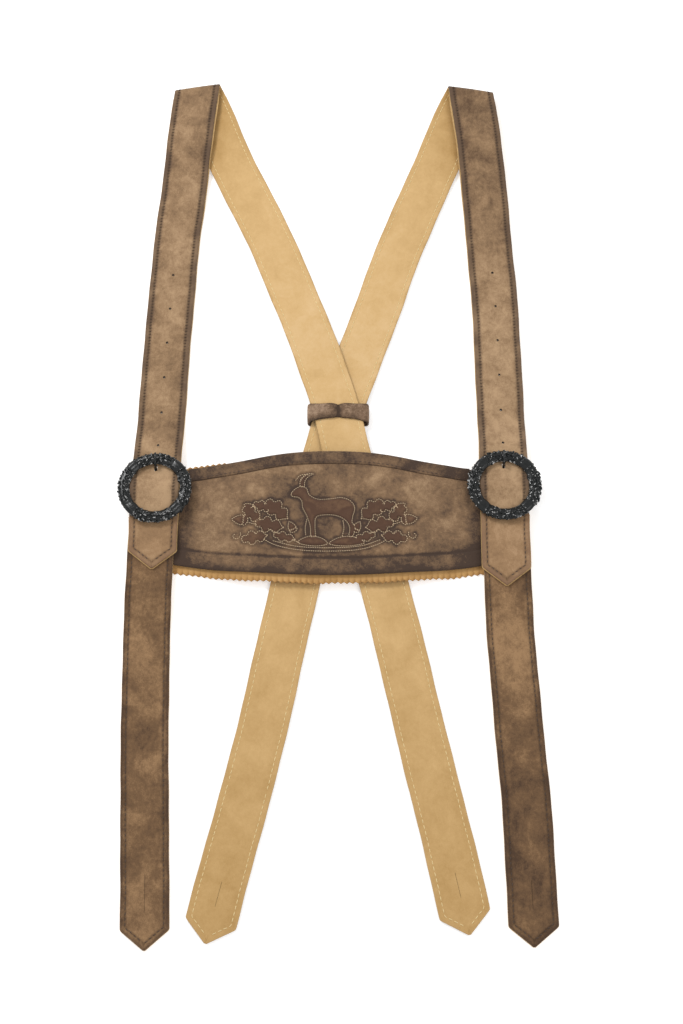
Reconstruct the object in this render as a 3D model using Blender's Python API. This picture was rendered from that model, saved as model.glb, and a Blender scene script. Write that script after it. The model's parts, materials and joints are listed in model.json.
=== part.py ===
"""Leather braces with a chest band, lying face up with the front straps folded over the back ones.

Millimetres in the constants, metres in the scene. +X is the right-hand side as seen from above,
+Y points to the shoulders and +Z up. The surface that the braces lie on is z = 0.
"""

import math

import bmesh
import bpy
from mathutils import Vector

MM = 0.001

# Strap section
STRAP_WIDTH = 36.5
LEATHER = 1.3
LINING = 1.1
GAP = 0.3
STRAP = LEATHER + GAP + LINING
TIP_LENGTH = 14.0
TIP_FLAT = 1.2
LONG_STEP = 16.0
SHORT_STEP = 4.0
STEP_RISE = 0.12

# Shoulder folds: apex point, angle of the fold line and direction of the front strap, from -Y
FOLD_RADIUS = 4.5
FOLD_REACH = 16.0
FOLD_STEPS = 10
LEFT_FOLD = {"apex": (-112.0, 352.0), "turn": 9.5, "front": -6.1}
RIGHT_FOLD = {"apex": (117.4, 350.0), "turn": -9.5, "front": 6.8}

# Points that the strap centre lines pass through below the shoulders
LEFT_FRONT_POINTS = [(-120.6, 252.0), (-125.0, 212.0), (-129.0, 140.0),
                     (-133.4, 18.0), (-134.4, -60.0), (-134.5, -90.0)]
RIGHT_FRONT_POINTS = [(127.0, 250.0), (129.8, 195.0), (133.0, 145.0), (134.1, 20.0), (133.4, -90.0)]
LEFT_BACK_POINTS = [(-82, 279), (-51, 213), (-28, 153), (-9, 101), (6, 52),
                    (13, 18), (41, -85), (78, -248), (96, -330), (102, -358)]
RIGHT_BACK_POINTS = [(88, 279), (55, 197), (41, 153), (27, 114), (6, 52),
                     (-2, 20), (-26, -86), (-57, -231), (-83, -335), (-89, -360)]
LEFT_HANGER_POINTS = [(-134.5, 0), (-136.4, -85), (-136.0, -150), (-134.6, -220), (-131.2, -300), (-129.8, -356)]
RIGHT_HANGER_POINTS = [(134.4, 0), (134.9, -95), (138.8, -190), (142.9, -250), (144.0, -300), (144.6, -354)]
BACK_TIP_Y = {"left": -344.5, "right": -350.5}
FRONT_TIP_Y = {"left": -355.3, "right": -353.0}
TAIL_LENGTH = {"left": 63.0, "right": 78.5}

# Heights that the straps run at
FOLDED_TOP = 2.0 * FOLD_RADIUS - STRAP
FRONT_RISE = (225.0, 305.0)
LAYER_STEP = STRAP + 0.5
CROSSING = (-40.0, 128.0)
CROSSING_RAMP = 46.0
KEEPER_WALL = 1.4
KEEPER_RISE = KEEPER_WALL + GAP
KEEPER_FLAT = (37.0, 67.0)
KEEPER_RAMP = 20.0

# Chest band
BAND_CENTRE_X = 1.0
BAND_LEFT = -147.0
BAND_RIGHT = 146.0
BAND_TOP_Y = 20.0
BAND_TOP_SAG = 14.0
BAND_BOTTOM_Y = -81.0
BAND_BOTTOM_SAG = 9.0
BAND_HALF = 113.0
BAND_LIFT = LAYER_STEP * 2.0 + 0.2
BAND_FLAT = 50.0
BAND_RAMP = 50.0
BACKING = 1.0
PADDING = 1.2
PANEL = 1.2
WELT = 0.9
WELT_WIDTH = 10.0
WELT_LEFT = -109.0
WELT_RIGHT = 108.0
BACKING_DROP = 6.5
BACKING_RISE = 2.0
PINK_PITCH = 6.2
PINK_DEPTH = 1.8
BAND_STEP = 9.0

# Hangers over the band ends
BAND_END = BACKING + PADDING + PANEL + 3.0 * GAP
HANGER_RAMP = (-128.0, -92.0)
BAR_Z = BAND_END + 4.1
BAR_RADIUS = 1.3
LOOP_CLEAR = 0.2
LOOP_RADIUS = BAR_RADIUS + LOOP_CLEAR + 0.5 * LEATHER
LOOP_RETURN = 14.0

# Buckles
BUCKLE = {"left": (-133.9, -12.3), "right": (133.8, -10.1)}
RING_INNER = 20.0
RING_OUTER = 29.0
RING_BOTTOM = BAR_Z + 3.6
RING_THICK = 5.0
RING_STEPS = 48
POST_RADIUS = 22.0
BAR_SIDES = 12
HANGER_TOP = BAND_END + STRAP
STRAP_OVER_BAR = BAR_Z + BAR_RADIUS + LOOP_CLEAR + LEATHER + 2.0 * GAP
BUMP_Q = 9.0
BUMP_Z = 8.6
RIM_Q = 27.0
RIM_Z = 7.4
SLOT_Q = 15.8
CLIMB_Q = 62.0
TAIL_Q = -30.0
PRONG_RADIUS = 1.1
EYE_RADIUS = 0.65
PRONG_REACH = 27.0
PRONG_SIDES = 10
NOTCH_WIDTH = 4.4

# Holes and slits
HOLE_PITCH = 30.2
HOLE_FIRST = 37.0
HOLE_COUNT = 6
HOLE_RADIUS = 1.2
SLOT_RADIUS = 1.6
PRONG_SLOT = 6.4
SLIT_WIDTH = 1.0
SLIT_LENGTH = {"back": 18.0, "left": 27.0, "right": 20.0}
SLIT_TO_TIP = 26.0
TAB_LENGTH = 92.0

# Keeper
KEEPER_CENTRE = (6.4, 52.0)
KEEPER_INNER = 45.4
KEEPER_DEPTH = 16.0
KEEPER_CORNER = 3.0
KEEPER_TOP_CLEAR = 0.4

COLOURS = {
    "leather": (0.23, 0.14, 0.085),
    "tail_leather": (0.32, 0.21, 0.13),
    "lining": (0.67, 0.45, 0.25),
    "band_leather": (0.26, 0.17, 0.105),
    "backing": (0.60, 0.36, 0.17),
    "padding": (0.55, 0.50, 0.42),
    "keeper": (0.17, 0.11, 0.07),
    "metal": (0.035, 0.033, 0.032),
}


def smooth(t):
    t = max(0.0, min(1.0, t))
    return t * t * (3.0 - 2.0 * t)


def window(value, low, high, ramp):
    """1 between low and high, falling smoothly to 0 over the ramp on each side."""
    return smooth((value - low + ramp) / ramp) * smooth((high + ramp - value) / ramp)


def through(keys, value):
    """Height between sorted (position, height) keys, eased from each one to the next."""
    if value <= keys[0][0]:
        return keys[0][1]
    for (a, low), (b, high) in zip(keys, keys[1:]):
        if value <= b:
            return low + (high - low) * smooth((value - a) / (b - a))
    return keys[-1][1]


def material(name, metallic=0.0, roughness=0.75):
    made = bpy.data.materials.new(name)
    made.use_nodes = True
    shader = made.node_tree.nodes["Principled BSDF"]
    shader.inputs["Base Color"].default_value = (*COLOURS[name], 1.0)
    shader.inputs["Metallic"].default_value = metallic
    shader.inputs["Roughness"].default_value = roughness
    return made


def make_object(name, verts, faces, finish):
    """A mesh object from points in millimetres, its faces turned outwards."""
    mesh = bpy.data.meshes.new(name)
    mesh.from_pydata([Vector(v) * MM for v in verts], [], faces)
    bm = bmesh.new()
    bm.from_mesh(mesh)
    bmesh.ops.recalc_face_normals(bm, faces=bm.faces)
    bm.to_mesh(mesh)
    bm.free()
    mesh.materials.append(finish)
    made = bpy.data.objects.new(name, mesh)
    bpy.context.scene.collection.objects.link(made)
    return made


def set_origin(made, point):
    """Moves an object's origin to a point in millimetres and leaves its shape in place."""
    place = Vector(point) * MM
    for vertex in made.data.vertices:
        vertex.co -= place
    made.location = place


def loft(name, rings, finish, closed=False):
    """A closed solid through rings of points, capped at both ends unless it closes on itself.

    A ring's second half runs back over its first, and both are split along the same diagonals,
    so layers of one strap stay parallel.
    """
    size = len(rings[0])
    verts = [point for ring in rings for point in ring]
    faces = []
    spans = len(rings) if closed else len(rings) - 1
    for i in range(spans):
        here = i * size
        following = (i + 1) % len(rings) * size
        for j in range(size):
            k = (j + 1) % size
            a, b, c, d = here + j, here + k, following + k, following + j
            if j < size // 2:
                faces += [(a, b, c), (a, c, d)]
            else:
                faces += [(a, b, d), (b, c, d)]
    if not closed:
        faces.append(tuple(reversed(range(size))))
        faces.append(tuple(range(len(verts) - size, len(verts))))
    return make_object(name, verts, faces, finish)


class Route:
    """A smooth plan curve through points, measured by its length."""

    def __init__(self, points, steps=16):
        knots = [Vector(p) for p in points]
        knots.insert(0, knots[0] * 2.0 - knots[1])
        knots.append(knots[-1] * 2.0 - knots[-2])
        self.points = []
        for a, b, c, d in zip(knots, knots[1:], knots[2:], knots[3:]):
            into = (c - a) * (c - b).length / ((c - b).length + (b - a).length)
            out = (d - b) * (c - b).length / ((d - c).length + (c - b).length)
            for i in range(steps):
                t = i / steps
                self.points.append(
                    b * (2 * t**3 - 3 * t**2 + 1)
                    + into * (t**3 - 2 * t**2 + t)
                    + c * (3 * t**2 - 2 * t**3)
                    + out * (t**3 - t**2)
                )
        self.points.append(knots[-2])
        self.lengths = [0.0]
        for a, b in zip(self.points, self.points[1:]):
            self.lengths.append(self.lengths[-1] + (b - a).length)

    def place(self, s):
        for i in range(1, len(self.points)):
            if self.lengths[i] >= s or i == len(self.points) - 1:
                share = (s - self.lengths[i - 1]) / (self.lengths[i] - self.lengths[i - 1])
                return self.points[i - 1].lerp(self.points[i], share)

    def direction(self, s):
        return (self.place(s + 1.0) - self.place(s - 1.0)).normalized()

    def at_y(self, y):
        """Length at which the route, which runs towards -Y, reaches this y."""
        for i in range(1, len(self.points)):
            if self.points[i].y <= y:
                share = (self.points[i - 1].y - y) / (self.points[i - 1].y - self.points[i].y)
                return self.lengths[i - 1] + share * (self.lengths[i] - self.lengths[i - 1])
        return self.lengths[-1]


def fold_axes(fold):
    """Outward normal of the fold line, its direction, and the front and back strap directions."""
    turn = math.radians(fold["turn"])
    lean = math.radians(fold["front"])
    normal = Vector((-math.sin(turn), math.cos(turn)))
    along = Vector((math.cos(turn), math.sin(turn)))
    front = Vector((math.sin(lean), -math.cos(lean)))
    back = front - 2.0 * front.dot(along) * along
    return normal, along, front, back


def fold_exit(fold, direction, reach):
    """Plan point of the strap centre line at this length from the fold."""
    normal = fold_axes(fold)[0]
    neutral = FOLD_RADIUS - 0.5 * STRAP
    base = Vector(fold["apex"]) - normal * (FOLD_RADIUS - 0.5 * math.pi * neutral)
    return base + direction * reach


def strap_stations(route, start, end, height, tip):
    """Lengths at which a strap's sections are cut: close together where it rises or falls."""
    body_end = end - TIP_LENGTH if tip else end
    stations = [start]
    while stations[-1] < body_end - SHORT_STEP:
        s = stations[-1]
        rise = max(
            abs(height(route.place(s + reach)) - height(route.place(s)))
            for reach in (SHORT_STEP, 0.5 * LONG_STEP, LONG_STEP)
        )
        stations.append(s + (SHORT_STEP if rise > STEP_RISE else LONG_STEP))
    if stations[-1] > body_end - 0.5 * SHORT_STEP and len(stations) > 1:
        stations.pop()
    stations.append(body_end)
    if tip:
        stations.append(end)
    return stations


def strap_layer(name, route, start, end, height, low, thick, finish, tip=False):
    """One layer of a strap: its underside is `low` above the height of the plan point."""
    rings = []
    for s in strap_stations(route, start, end, height, tip):
        centre = route.place(s)
        forward = route.direction(s)
        side = Vector((forward.y, -forward.x))
        half = 0.5 * (TIP_FLAT if tip and s == end else STRAP_WIDTH)
        row = [centre + side * half * share for share in (-1.0, 0.0, 1.0)]
        under = [(p.x, p.y, height(p) + low) for p in row]
        over = [(p.x, p.y, height(p) + low + thick) for p in reversed(row)]
        rings.append(under + over)
    return loft(name, rings, finish)


def strap_pair(prefix, route, start, end, height, finishes, tip=False, lining_up=False):
    """The leather and the lining of one stretch of strap."""
    leather_low = 0.0 if lining_up else LINING + GAP
    lining_low = LEATHER + GAP if lining_up else 0.0
    leather = strap_layer(
        prefix + "_leather", route, start, end, height, leather_low, LEATHER, finishes[0], tip
    )
    lining = strap_layer(
        prefix + "_lining", route, start, end, height, lining_low, LINING, finishes[1], tip
    )
    return [leather, lining]


def fold_layer(name, fold, outer, inner, finish):
    """One layer of a shoulder: flat below, round the fold, and flat above."""
    normal, along, front, back = fold_axes(fold)
    neutral = FOLD_RADIUS - 0.5 * STRAP
    half_arc = 0.5 * math.pi * neutral
    slant = front.dot(along)
    across = -front.dot(normal)

    def point(s, v, radius):
        t = s * across - v * slant
        e = s * slant + v * across
        angle = max(-0.5 * math.pi, min(0.5 * math.pi, t / neutral))
        inward = FOLD_RADIUS - radius * math.cos(angle) + max(0.0, abs(t) - half_arc)
        place = Vector(fold["apex"]) + along * e - normal * inward
        return (place.x, place.y, FOLD_RADIUS + radius * math.sin(angle))

    rings = []
    half = 0.5 * STRAP_WIDTH
    for i in range(-1, FOLD_STEPS + 2):
        t = half_arc * (2.0 * i / FOLD_STEPS - 1.0)
        row = []
        for v in (-half, half):
            s = (t + v * slant) / across
            if i < 0:
                s = -FOLD_REACH
            if i > FOLD_STEPS:
                s = FOLD_REACH
            row.append((s, v))
        rings.append(
            [point(*row[0], inner), point(*row[1], inner), point(*row[1], outer), point(*row[0], outer)]
        )
    return loft(name, rings, finish)


def cylinder_points(centre, radius, sides, z):
    return [
        (
            centre[0] + radius * math.cos(2.0 * math.pi * i / sides),
            centre[1] + radius * math.sin(2.0 * math.pi * i / sides),
            z,
        )
        for i in range(sides)
    ]


def cutter(name, outlines, low, high, finish):
    """A hidden object that joins upright prisms over these outlines."""
    verts = []
    faces = []
    for outline in outlines:
        size = len(outline)
        base = len(verts)
        verts += [(x, y, low) for x, y in outline]
        verts += [(x, y, high) for x, y in outline]
        faces.append(tuple(base + i for i in reversed(range(size))))
        faces.append(tuple(base + size + i for i in range(size)))
        for i in range(size):
            j = (i + 1) % size
            faces.append((base + i, base + j, base + size + j, base + size + i))
    made = make_object(name, verts, faces, finish)
    made.hide_render = True
    made.display_type = "WIRE"
    return made


def cut(targets, tool):
    for target in targets:
        modifier = target.modifiers.new("cut", "BOOLEAN")
        modifier.operation = "DIFFERENCE"
        modifier.object = tool


def round_slot(centre, forward, length, radius, sides=6):
    """Outline of a slot with round ends, along the direction given."""
    forward = Vector(forward)
    side = Vector((forward.y, -forward.x))
    reach = 0.5 * length - radius
    outline = []
    for sign in (1.0, -1.0):
        for i in range(sides + 1):
            angle = math.pi * i / sides
            outline.append(
                Vector(centre)
                + forward * sign * (reach + radius * math.sin(angle))
                + side * sign * radius * math.cos(angle)
            )
    return [(p.x, p.y) for p in outline]


def slit_outline(route, tip_s, length):
    """The buttonhole of a tab."""
    middle = tip_s - SLIT_TO_TIP - 0.5 * length
    return round_slot(
        route.place(middle), route.direction(middle), length, 0.5 * SLIT_WIDTH, sides=3
    )


def hanger_height(y):
    low, high = HANGER_RAMP
    return BAND_END * smooth((y - low) / (high - low))


def front_height(side):
    """Underside of a front strap: folded at the shoulder, flat, then over the bar of its buckle."""
    buckle_y = BUCKLE[side][1]
    keys = [
        (buckle_y - 24.0, HANGER_TOP + GAP),
        (buckle_y - BUMP_Q, BUMP_Z),
        (buckle_y, STRAP_OVER_BAR),
        (buckle_y + BUMP_Q, BUMP_Z + 0.4),
        (buckle_y + RIM_Q, RIM_Z),
        (buckle_y + CLIMB_Q, 0.0),
        (FRONT_RISE[0], 0.0),
        (FRONT_RISE[1], FOLDED_TOP),
    ]

    def height(point):
        if point.y < buckle_y - 24.0:
            return hanger_height(point.y) + STRAP + GAP
        return through(keys, point.y)

    return height


def lower_strap_height(point):
    """The strap underneath at the crossing, lifted where the keeper passes below it."""
    return KEEPER_RISE * window(point.y, *KEEPER_FLAT, KEEPER_RAMP)


def upper_strap_height(point):
    """The strap on top at the crossing."""
    return lower_strap_height(point) + LAYER_STEP * window(point.y, *CROSSING, CROSSING_RAMP)


def hanger_leather(side, route, end, height, finish):
    """The hanger's leather, turned round the buckle's bar and back under itself."""
    x, y = BUCKLE[side]
    middle = LINING + GAP + 0.5 * LEATHER
    half = 0.5 * STRAP_WIDTH
    section = [(y - LOOP_RETURN, BAR_Z - LOOP_RADIUS)]
    for i in range(11):
        angle = math.radians(-90.0 + 22.0 * i)
        section.append((y + LOOP_RADIUS * math.cos(angle), BAR_Z + LOOP_RADIUS * math.sin(angle)))
    rest_y = y - 9.0
    section.append((rest_y, BAND_END + middle))
    rings = []
    for i, (a, b) in enumerate(section):
        before = Vector(section[max(0, i - 1)])
        after = Vector(section[min(len(section) - 1, i + 1)])
        forward = (after - before).normalized()
        if i == len(section) - 1:
            forward = Vector((-1.0, 0.0))
        out = Vector((forward.y, -forward.x)) * 0.5 * LEATHER
        rings.append(
            [
                (x - half, a - out.x, b - out.y),
                (x, a - out.x, b - out.y),
                (x + half, a - out.x, b - out.y),
                (x + half, a + out.x, b + out.y),
                (x, a + out.x, b + out.y),
                (x - half, a + out.x, b + out.y),
            ]
        )
    for s in strap_stations(route, route.at_y(rest_y) + SHORT_STEP, end, height, False):
        centre = route.place(s)
        forward = route.direction(s)
        across = Vector((-forward.y, forward.x))
        row = [centre + across * half * share for share in (-1.0, 0.0, 1.0)]
        under = [(p.x, p.y, height(p) + LINING + GAP) for p in row]
        over = [(p.x, p.y, height(p) + STRAP) for p in reversed(row)]
        rings.append(under + over)
    return loft(side + "_hanger_leather", rings, finish)


def buckle_frame(side, finish):
    """A round frame, its section domed on top."""
    x, y = BUCKLE[side]
    middle = 0.5 * (RING_INNER + RING_OUTER)
    half = 0.5 * (RING_OUTER - RING_INNER)
    section = [(-1.0, 0.15), (-0.55, 0.0), (0.55, 0.0), (1.0, 0.15), (1.0, 0.5), (0.6, 0.9), (0.0, 1.0), (-0.6, 0.9), (-1.0, 0.5)]
    rings = []
    for i in range(RING_STEPS):
        angle = 2.0 * math.pi * i / RING_STEPS
        ring = []
        for across, up in section:
            radius = middle + half * across
            z = RING_BOTTOM + RING_THICK * up
            ring.append((x + radius * math.cos(angle), y + radius * math.sin(angle), z))
        rings.append(ring)
    return loft(side + "_buckle_frame", rings, finish, closed=True)


def tube(name, points, radii, sides, finish, across):
    """A round bar through points in a plane, whose normal is `across`, with a radius at each point."""
    rings = []
    for i, (point, radius) in enumerate(zip(points, radii)):
        here = Vector(point)
        before = Vector(points[max(0, i - 1)])
        after = Vector(points[min(len(points) - 1, i + 1)])
        forward = (after - before).normalized()
        up = Vector(across).cross(forward)
        ring = []
        for j in range(sides):
            angle = 2.0 * math.pi * j / sides
            ring.append(here + (Vector(across) * math.cos(angle) + up * math.sin(angle)) * radius)
        rings.append(ring)
    return loft(name, rings, finish)


def buckle_bar(side, finish):
    """The bar across the frame, with ends that rise to the frame's underside."""
    x, y = BUCKLE[side]
    top = RING_BOTTOM - GAP
    bend = 1.6
    points = [(x - POST_RADIUS, y, top), (x - POST_RADIUS, y, BAR_Z + bend)]
    points += [(x - POST_RADIUS + 0.3 * bend, y, BAR_Z + 0.3 * bend), (x - POST_RADIUS + bend, y, BAR_Z)]
    points += [(2.0 * x - a, b, c) for a, b, c in reversed(points)]
    radii = [BAR_RADIUS] * len(points)
    return tube(side + "_buckle_bar", points, radii, BAR_SIDES, finish, (0.0, 1.0, 0.0))


def prong(side, finish):
    """The prong: an eye round the bar, a shank under the strap, and a tip over the rim."""
    x, y = BUCKLE[side]
    eye = BAR_RADIUS + LOOP_CLEAR + EYE_RADIUS
    rim_top = RING_BOTTOM + RING_THICK
    points = []
    for i in range(12):
        angle = math.radians(120.0 + 25.0 * i)
        points.append((x, y + eye * math.cos(angle), BAR_Z + eye * math.sin(angle)))
    radii = [EYE_RADIUS] * len(points)
    shank_z = BAR_Z - 1.5
    points += [
        (x, y + 7.0, shank_z),
        (x, y + 13.6, shank_z + 0.1),
        (x, y + 15.6, shank_z + 1.6),
        (x, y + 16.6, shank_z + 4.5),
        (x, y + 17.4, rim_top - 1.6),
        (x, y + 19.2, rim_top + PRONG_RADIUS),
        (x, y + 23.0, rim_top + PRONG_RADIUS + 0.9),
        (x, y + PRONG_REACH, rim_top + PRONG_RADIUS + 0.5),
    ]
    radii += [PRONG_RADIUS] * (len(points) - len(radii))
    made = tube(side + "_prong", points, radii, PRONG_SIDES, finish, (1.0, 0.0, 0.0))
    set_origin(made, (x, y, BAR_Z))
    return made


def band_height(x):
    """Height of the chest band's underside, arched over the crossing back straps."""
    out = abs(x - BAND_CENTRE_X)
    return BAND_LIFT * smooth((BAND_FLAT + BAND_RAMP - out) / BAND_RAMP)


def band_top(x):
    return BAND_TOP_Y - BAND_TOP_SAG * ((x - BAND_CENTRE_X) / BAND_HALF) ** 2


def band_bottom(x):
    return BAND_BOTTOM_Y + BAND_BOTTOM_SAG * ((x - BAND_CENTRE_X) / BAND_HALF) ** 2


def band_layer(name, left, right, step, top, bottom, low, thick, finish):
    """A layer of the chest band between two edge curves."""
    count = round((right - left) / step)
    rings = []
    for i in range(count + 1):
        x = left + (right - left) * i / count
        z = band_height(x) + low
        rings.append(
            [
                (x, bottom(x, i), z),
                (x, top(x, i), z),
                (x, top(x, i), z + thick),
                (x, bottom(x, i), z + thick),
            ]
        )
    return loft(name, rings, finish)


def chest_band(finishes):
    """Pinked backing, padding, leather panel and the welt along its upper edge."""

    def tooth(i):
        return PINK_DEPTH * (i % 2)

    backing_low = 0.0
    padding_low = backing_low + BACKING + GAP
    panel_low = padding_low + PADDING + GAP
    welt_low = panel_low + PANEL + GAP
    inset = 4.0
    band_layer(
        "chest_backing",
        BAND_LEFT,
        BAND_RIGHT,
        0.5 * PINK_PITCH,
        lambda x, i: band_top(x) + BACKING_RISE - tooth(i),
        lambda x, i: band_bottom(x) - BACKING_DROP + tooth(i),
        backing_low,
        BACKING,
        finishes["backing"],
    )
    band_layer(
        "chest_padding",
        BAND_LEFT + inset,
        BAND_RIGHT - inset,
        BAND_STEP,
        lambda x, i: band_top(x) - inset,
        lambda x, i: band_bottom(x) + inset,
        padding_low,
        PADDING,
        finishes["padding"],
    )
    band_layer(
        "chest_panel",
        BAND_LEFT,
        BAND_RIGHT,
        BAND_STEP,
        lambda x, i: band_top(x),
        lambda x, i: band_bottom(x),
        panel_low,
        PANEL,
        finishes["band_leather"],
    )
    band_layer(
        "chest_welt",
        WELT_LEFT,
        WELT_RIGHT,
        BAND_STEP,
        lambda x, i: band_top(x),
        lambda x, i: band_top(x) - WELT_WIDTH,
        welt_low,
        WELT,
        finishes["band_leather"],
    )


def keeper(finish):
    """The leather loop round the crossing."""
    x, y = KEEPER_CENTRE
    inner_half = 0.5 * KEEPER_INNER
    inner_low = KEEPER_WALL
    inner_high = KEEPER_RISE + LAYER_STEP + STRAP + KEEPER_TOP_CLEAR
    outer = (inner_half + KEEPER_WALL, 0.0, inner_high + KEEPER_WALL)
    inner = (inner_half, inner_low, inner_high)

    def outline(half, low, high, corner):
        points = []
        for cx, cz, start in (
            (half - corner, high - corner, 0.0),
            (corner - half, high - corner, 90.0),
            (corner - half, low + corner, 180.0),
            (half - corner, low + corner, 270.0),
        ):
            for i in range(4):
                angle = math.radians(start + 30.0 * i)
                points.append((cx + corner * math.cos(angle), cz + corner * math.sin(angle)))
        return points

    outside = outline(*outer, KEEPER_CORNER)
    inside = outline(*inner, KEEPER_CORNER - KEEPER_WALL)
    rings = []
    for (a, b), (c, d) in zip(outside, inside):
        front = y - 0.5 * KEEPER_DEPTH
        back = y + 0.5 * KEEPER_DEPTH
        rings.append([(x + a, front, b), (x + a, back, b), (x + c, back, d), (x + c, front, d)])
    made = loft("keeper_loop", rings, finish, closed=True)
    set_origin(made, (x, y, 0.0))


def side_of_front(side, fold, points, hanger_points, finishes):
    """Front strap, tail, hanger, tab and buckle of one side."""
    leather = finishes["leather"]
    pair = (leather, finishes["lining"])
    tail_pair = (finishes["tail_leather"], finishes["lining"])
    front = fold_axes(fold)[2]
    start = [fold_exit(fold, front, FOLD_REACH + GAP), fold_exit(fold, front, FOLD_REACH + 12.0)]
    route = Route(start + points)
    x, y = BUCKLE[side]
    strap_end = route.at_y(y + TAIL_Q)
    upper = strap_pair(side + "_front", route, 0.0, strap_end, front_height(side), pair)
    tail_start = strap_end + GAP
    tail_end = route.at_y(y - TAIL_LENGTH[side])
    tail = strap_pair(side + "_tail", route, tail_start, tail_end, front_height(side), tail_pair, tip=True)
    hinge = route.place(tail_start)
    for piece in tail:
        set_origin(piece, (hinge.x, hinge.y, HANGER_TOP + GAP + STRAP))

    outlines = []
    for i in range(HOLE_COUNT):
        s = route.at_y(y + HOLE_FIRST + HOLE_PITCH * i)
        centre = route.place(s)
        outlines.append([p[:2] for p in cylinder_points(centre, HOLE_RADIUS, 10, 0.0)])
    outlines.append(round_slot((x, y + SLOT_Q), (0.0, -1.0), PRONG_SLOT, SLOT_RADIUS))
    cut(upper, cutter(side + "_hole_cutter", outlines, -5.0, 30.0, leather))

    hanger = Route(hanger_points)
    tip_s = hanger.at_y(FRONT_TIP_Y[side])
    tab_s = tip_s - TAB_LENGTH

    def height(point):
        return hanger_height(point.y)

    hanger_top = hanger_leather(side, hanger, tab_s - GAP, height, leather)
    lining_start = hanger.at_y(y - LOOP_RETURN - 1.0)
    strap_layer(
        side + "_hanger_lining", hanger, lining_start, tab_s - GAP, height, 0.0, LINING, pair[1]
    )
    notch = [
        (x - 0.5 * NOTCH_WIDTH, y - 6.0),
        (x + 0.5 * NOTCH_WIDTH, y - 6.0),
        (x + 0.5 * NOTCH_WIDTH, y + 10.0),
        (x - 0.5 * NOTCH_WIDTH, y + 10.0),
    ]
    cut([hanger_top], cutter(side + "_notch_cutter", [notch], BAND_END - 1.0, BAR_Z + 8.0, leather))
    tab = strap_pair(side + "_front_tab", hanger, tab_s, tip_s, height, pair, tip=True)
    slit = slit_outline(hanger, tip_s, SLIT_LENGTH[side])
    cut(tab, cutter(side + "_front_slit_cutter", [slit], -5.0, 10.0, leather))
    hinge = hanger.place(tab_s)
    for piece in tab:
        set_origin(piece, (hinge.x, hinge.y, STRAP))

    buckle_frame(side, finishes["metal"])
    buckle_bar(side, finishes["metal"])
    prong(side, finishes["metal"])


def side_of_back(side, fold, points, height, finishes):
    """Back strap and its tab, from one shoulder to the opposite lower corner."""
    pair = (finishes["leather"], finishes["lining"])
    back = fold_axes(fold)[3]
    start = [fold_exit(fold, back, FOLD_REACH + GAP), fold_exit(fold, back, FOLD_REACH + 12.0)]
    route = Route(start + points)
    tip_s = route.at_y(BACK_TIP_Y[side])
    tab_s = tip_s - TAB_LENGTH
    strap_pair(side + "_back", route, 0.0, tab_s - GAP, height, pair, lining_up=True)
    tab = strap_pair(side + "_back_tab", route, tab_s, tip_s, height, pair, tip=True, lining_up=True)
    slit = slit_outline(route, tip_s, SLIT_LENGTH["back"])
    cut(tab, cutter(side + "_back_slit_cutter", [slit], -5.0, 10.0, finishes["leather"]))
    hinge = route.place(tab_s)
    for piece in tab:
        set_origin(piece, (hinge.x, hinge.y, STRAP))


def shoulder(side, fold, finishes):
    """The strap's turn over the shoulder, leather outside and lining inside."""
    leather_inner = FOLD_RADIUS - LEATHER
    lining_outer = leather_inner - GAP
    fold_layer(side + "_shoulder_leather", fold, FOLD_RADIUS, leather_inner, finishes["leather"])
    fold_layer(side + "_shoulder_lining", fold, lining_outer, lining_outer - LINING, finishes["lining"])


def main():
    for old in list(bpy.data.objects):
        bpy.data.objects.remove(old)
    finishes = {name: material(name) for name in COLOURS if name != "metal"}
    finishes["metal"] = material("metal", metallic=1.0, roughness=0.35)

    side_of_back("left", LEFT_FOLD, LEFT_BACK_POINTS, upper_strap_height, finishes)
    side_of_back("right", RIGHT_FOLD, RIGHT_BACK_POINTS, lower_strap_height, finishes)
    shoulder("left", LEFT_FOLD, finishes)
    shoulder("right", RIGHT_FOLD, finishes)
    side_of_front("left", LEFT_FOLD, LEFT_FRONT_POINTS, LEFT_HANGER_POINTS, finishes)
    side_of_front("right", RIGHT_FOLD, RIGHT_FRONT_POINTS, RIGHT_HANGER_POINTS, finishes)
    chest_band(finishes)
    keeper(finishes["keeper"])


main()
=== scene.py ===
"""Leather braces with a chest band: the visible model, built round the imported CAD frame."""

import json
import math

import bmesh
import bpy
import numpy as np
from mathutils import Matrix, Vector
from mathutils.bvhtree import BVHTree
from mathutils.kdtree import KDTree

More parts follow.
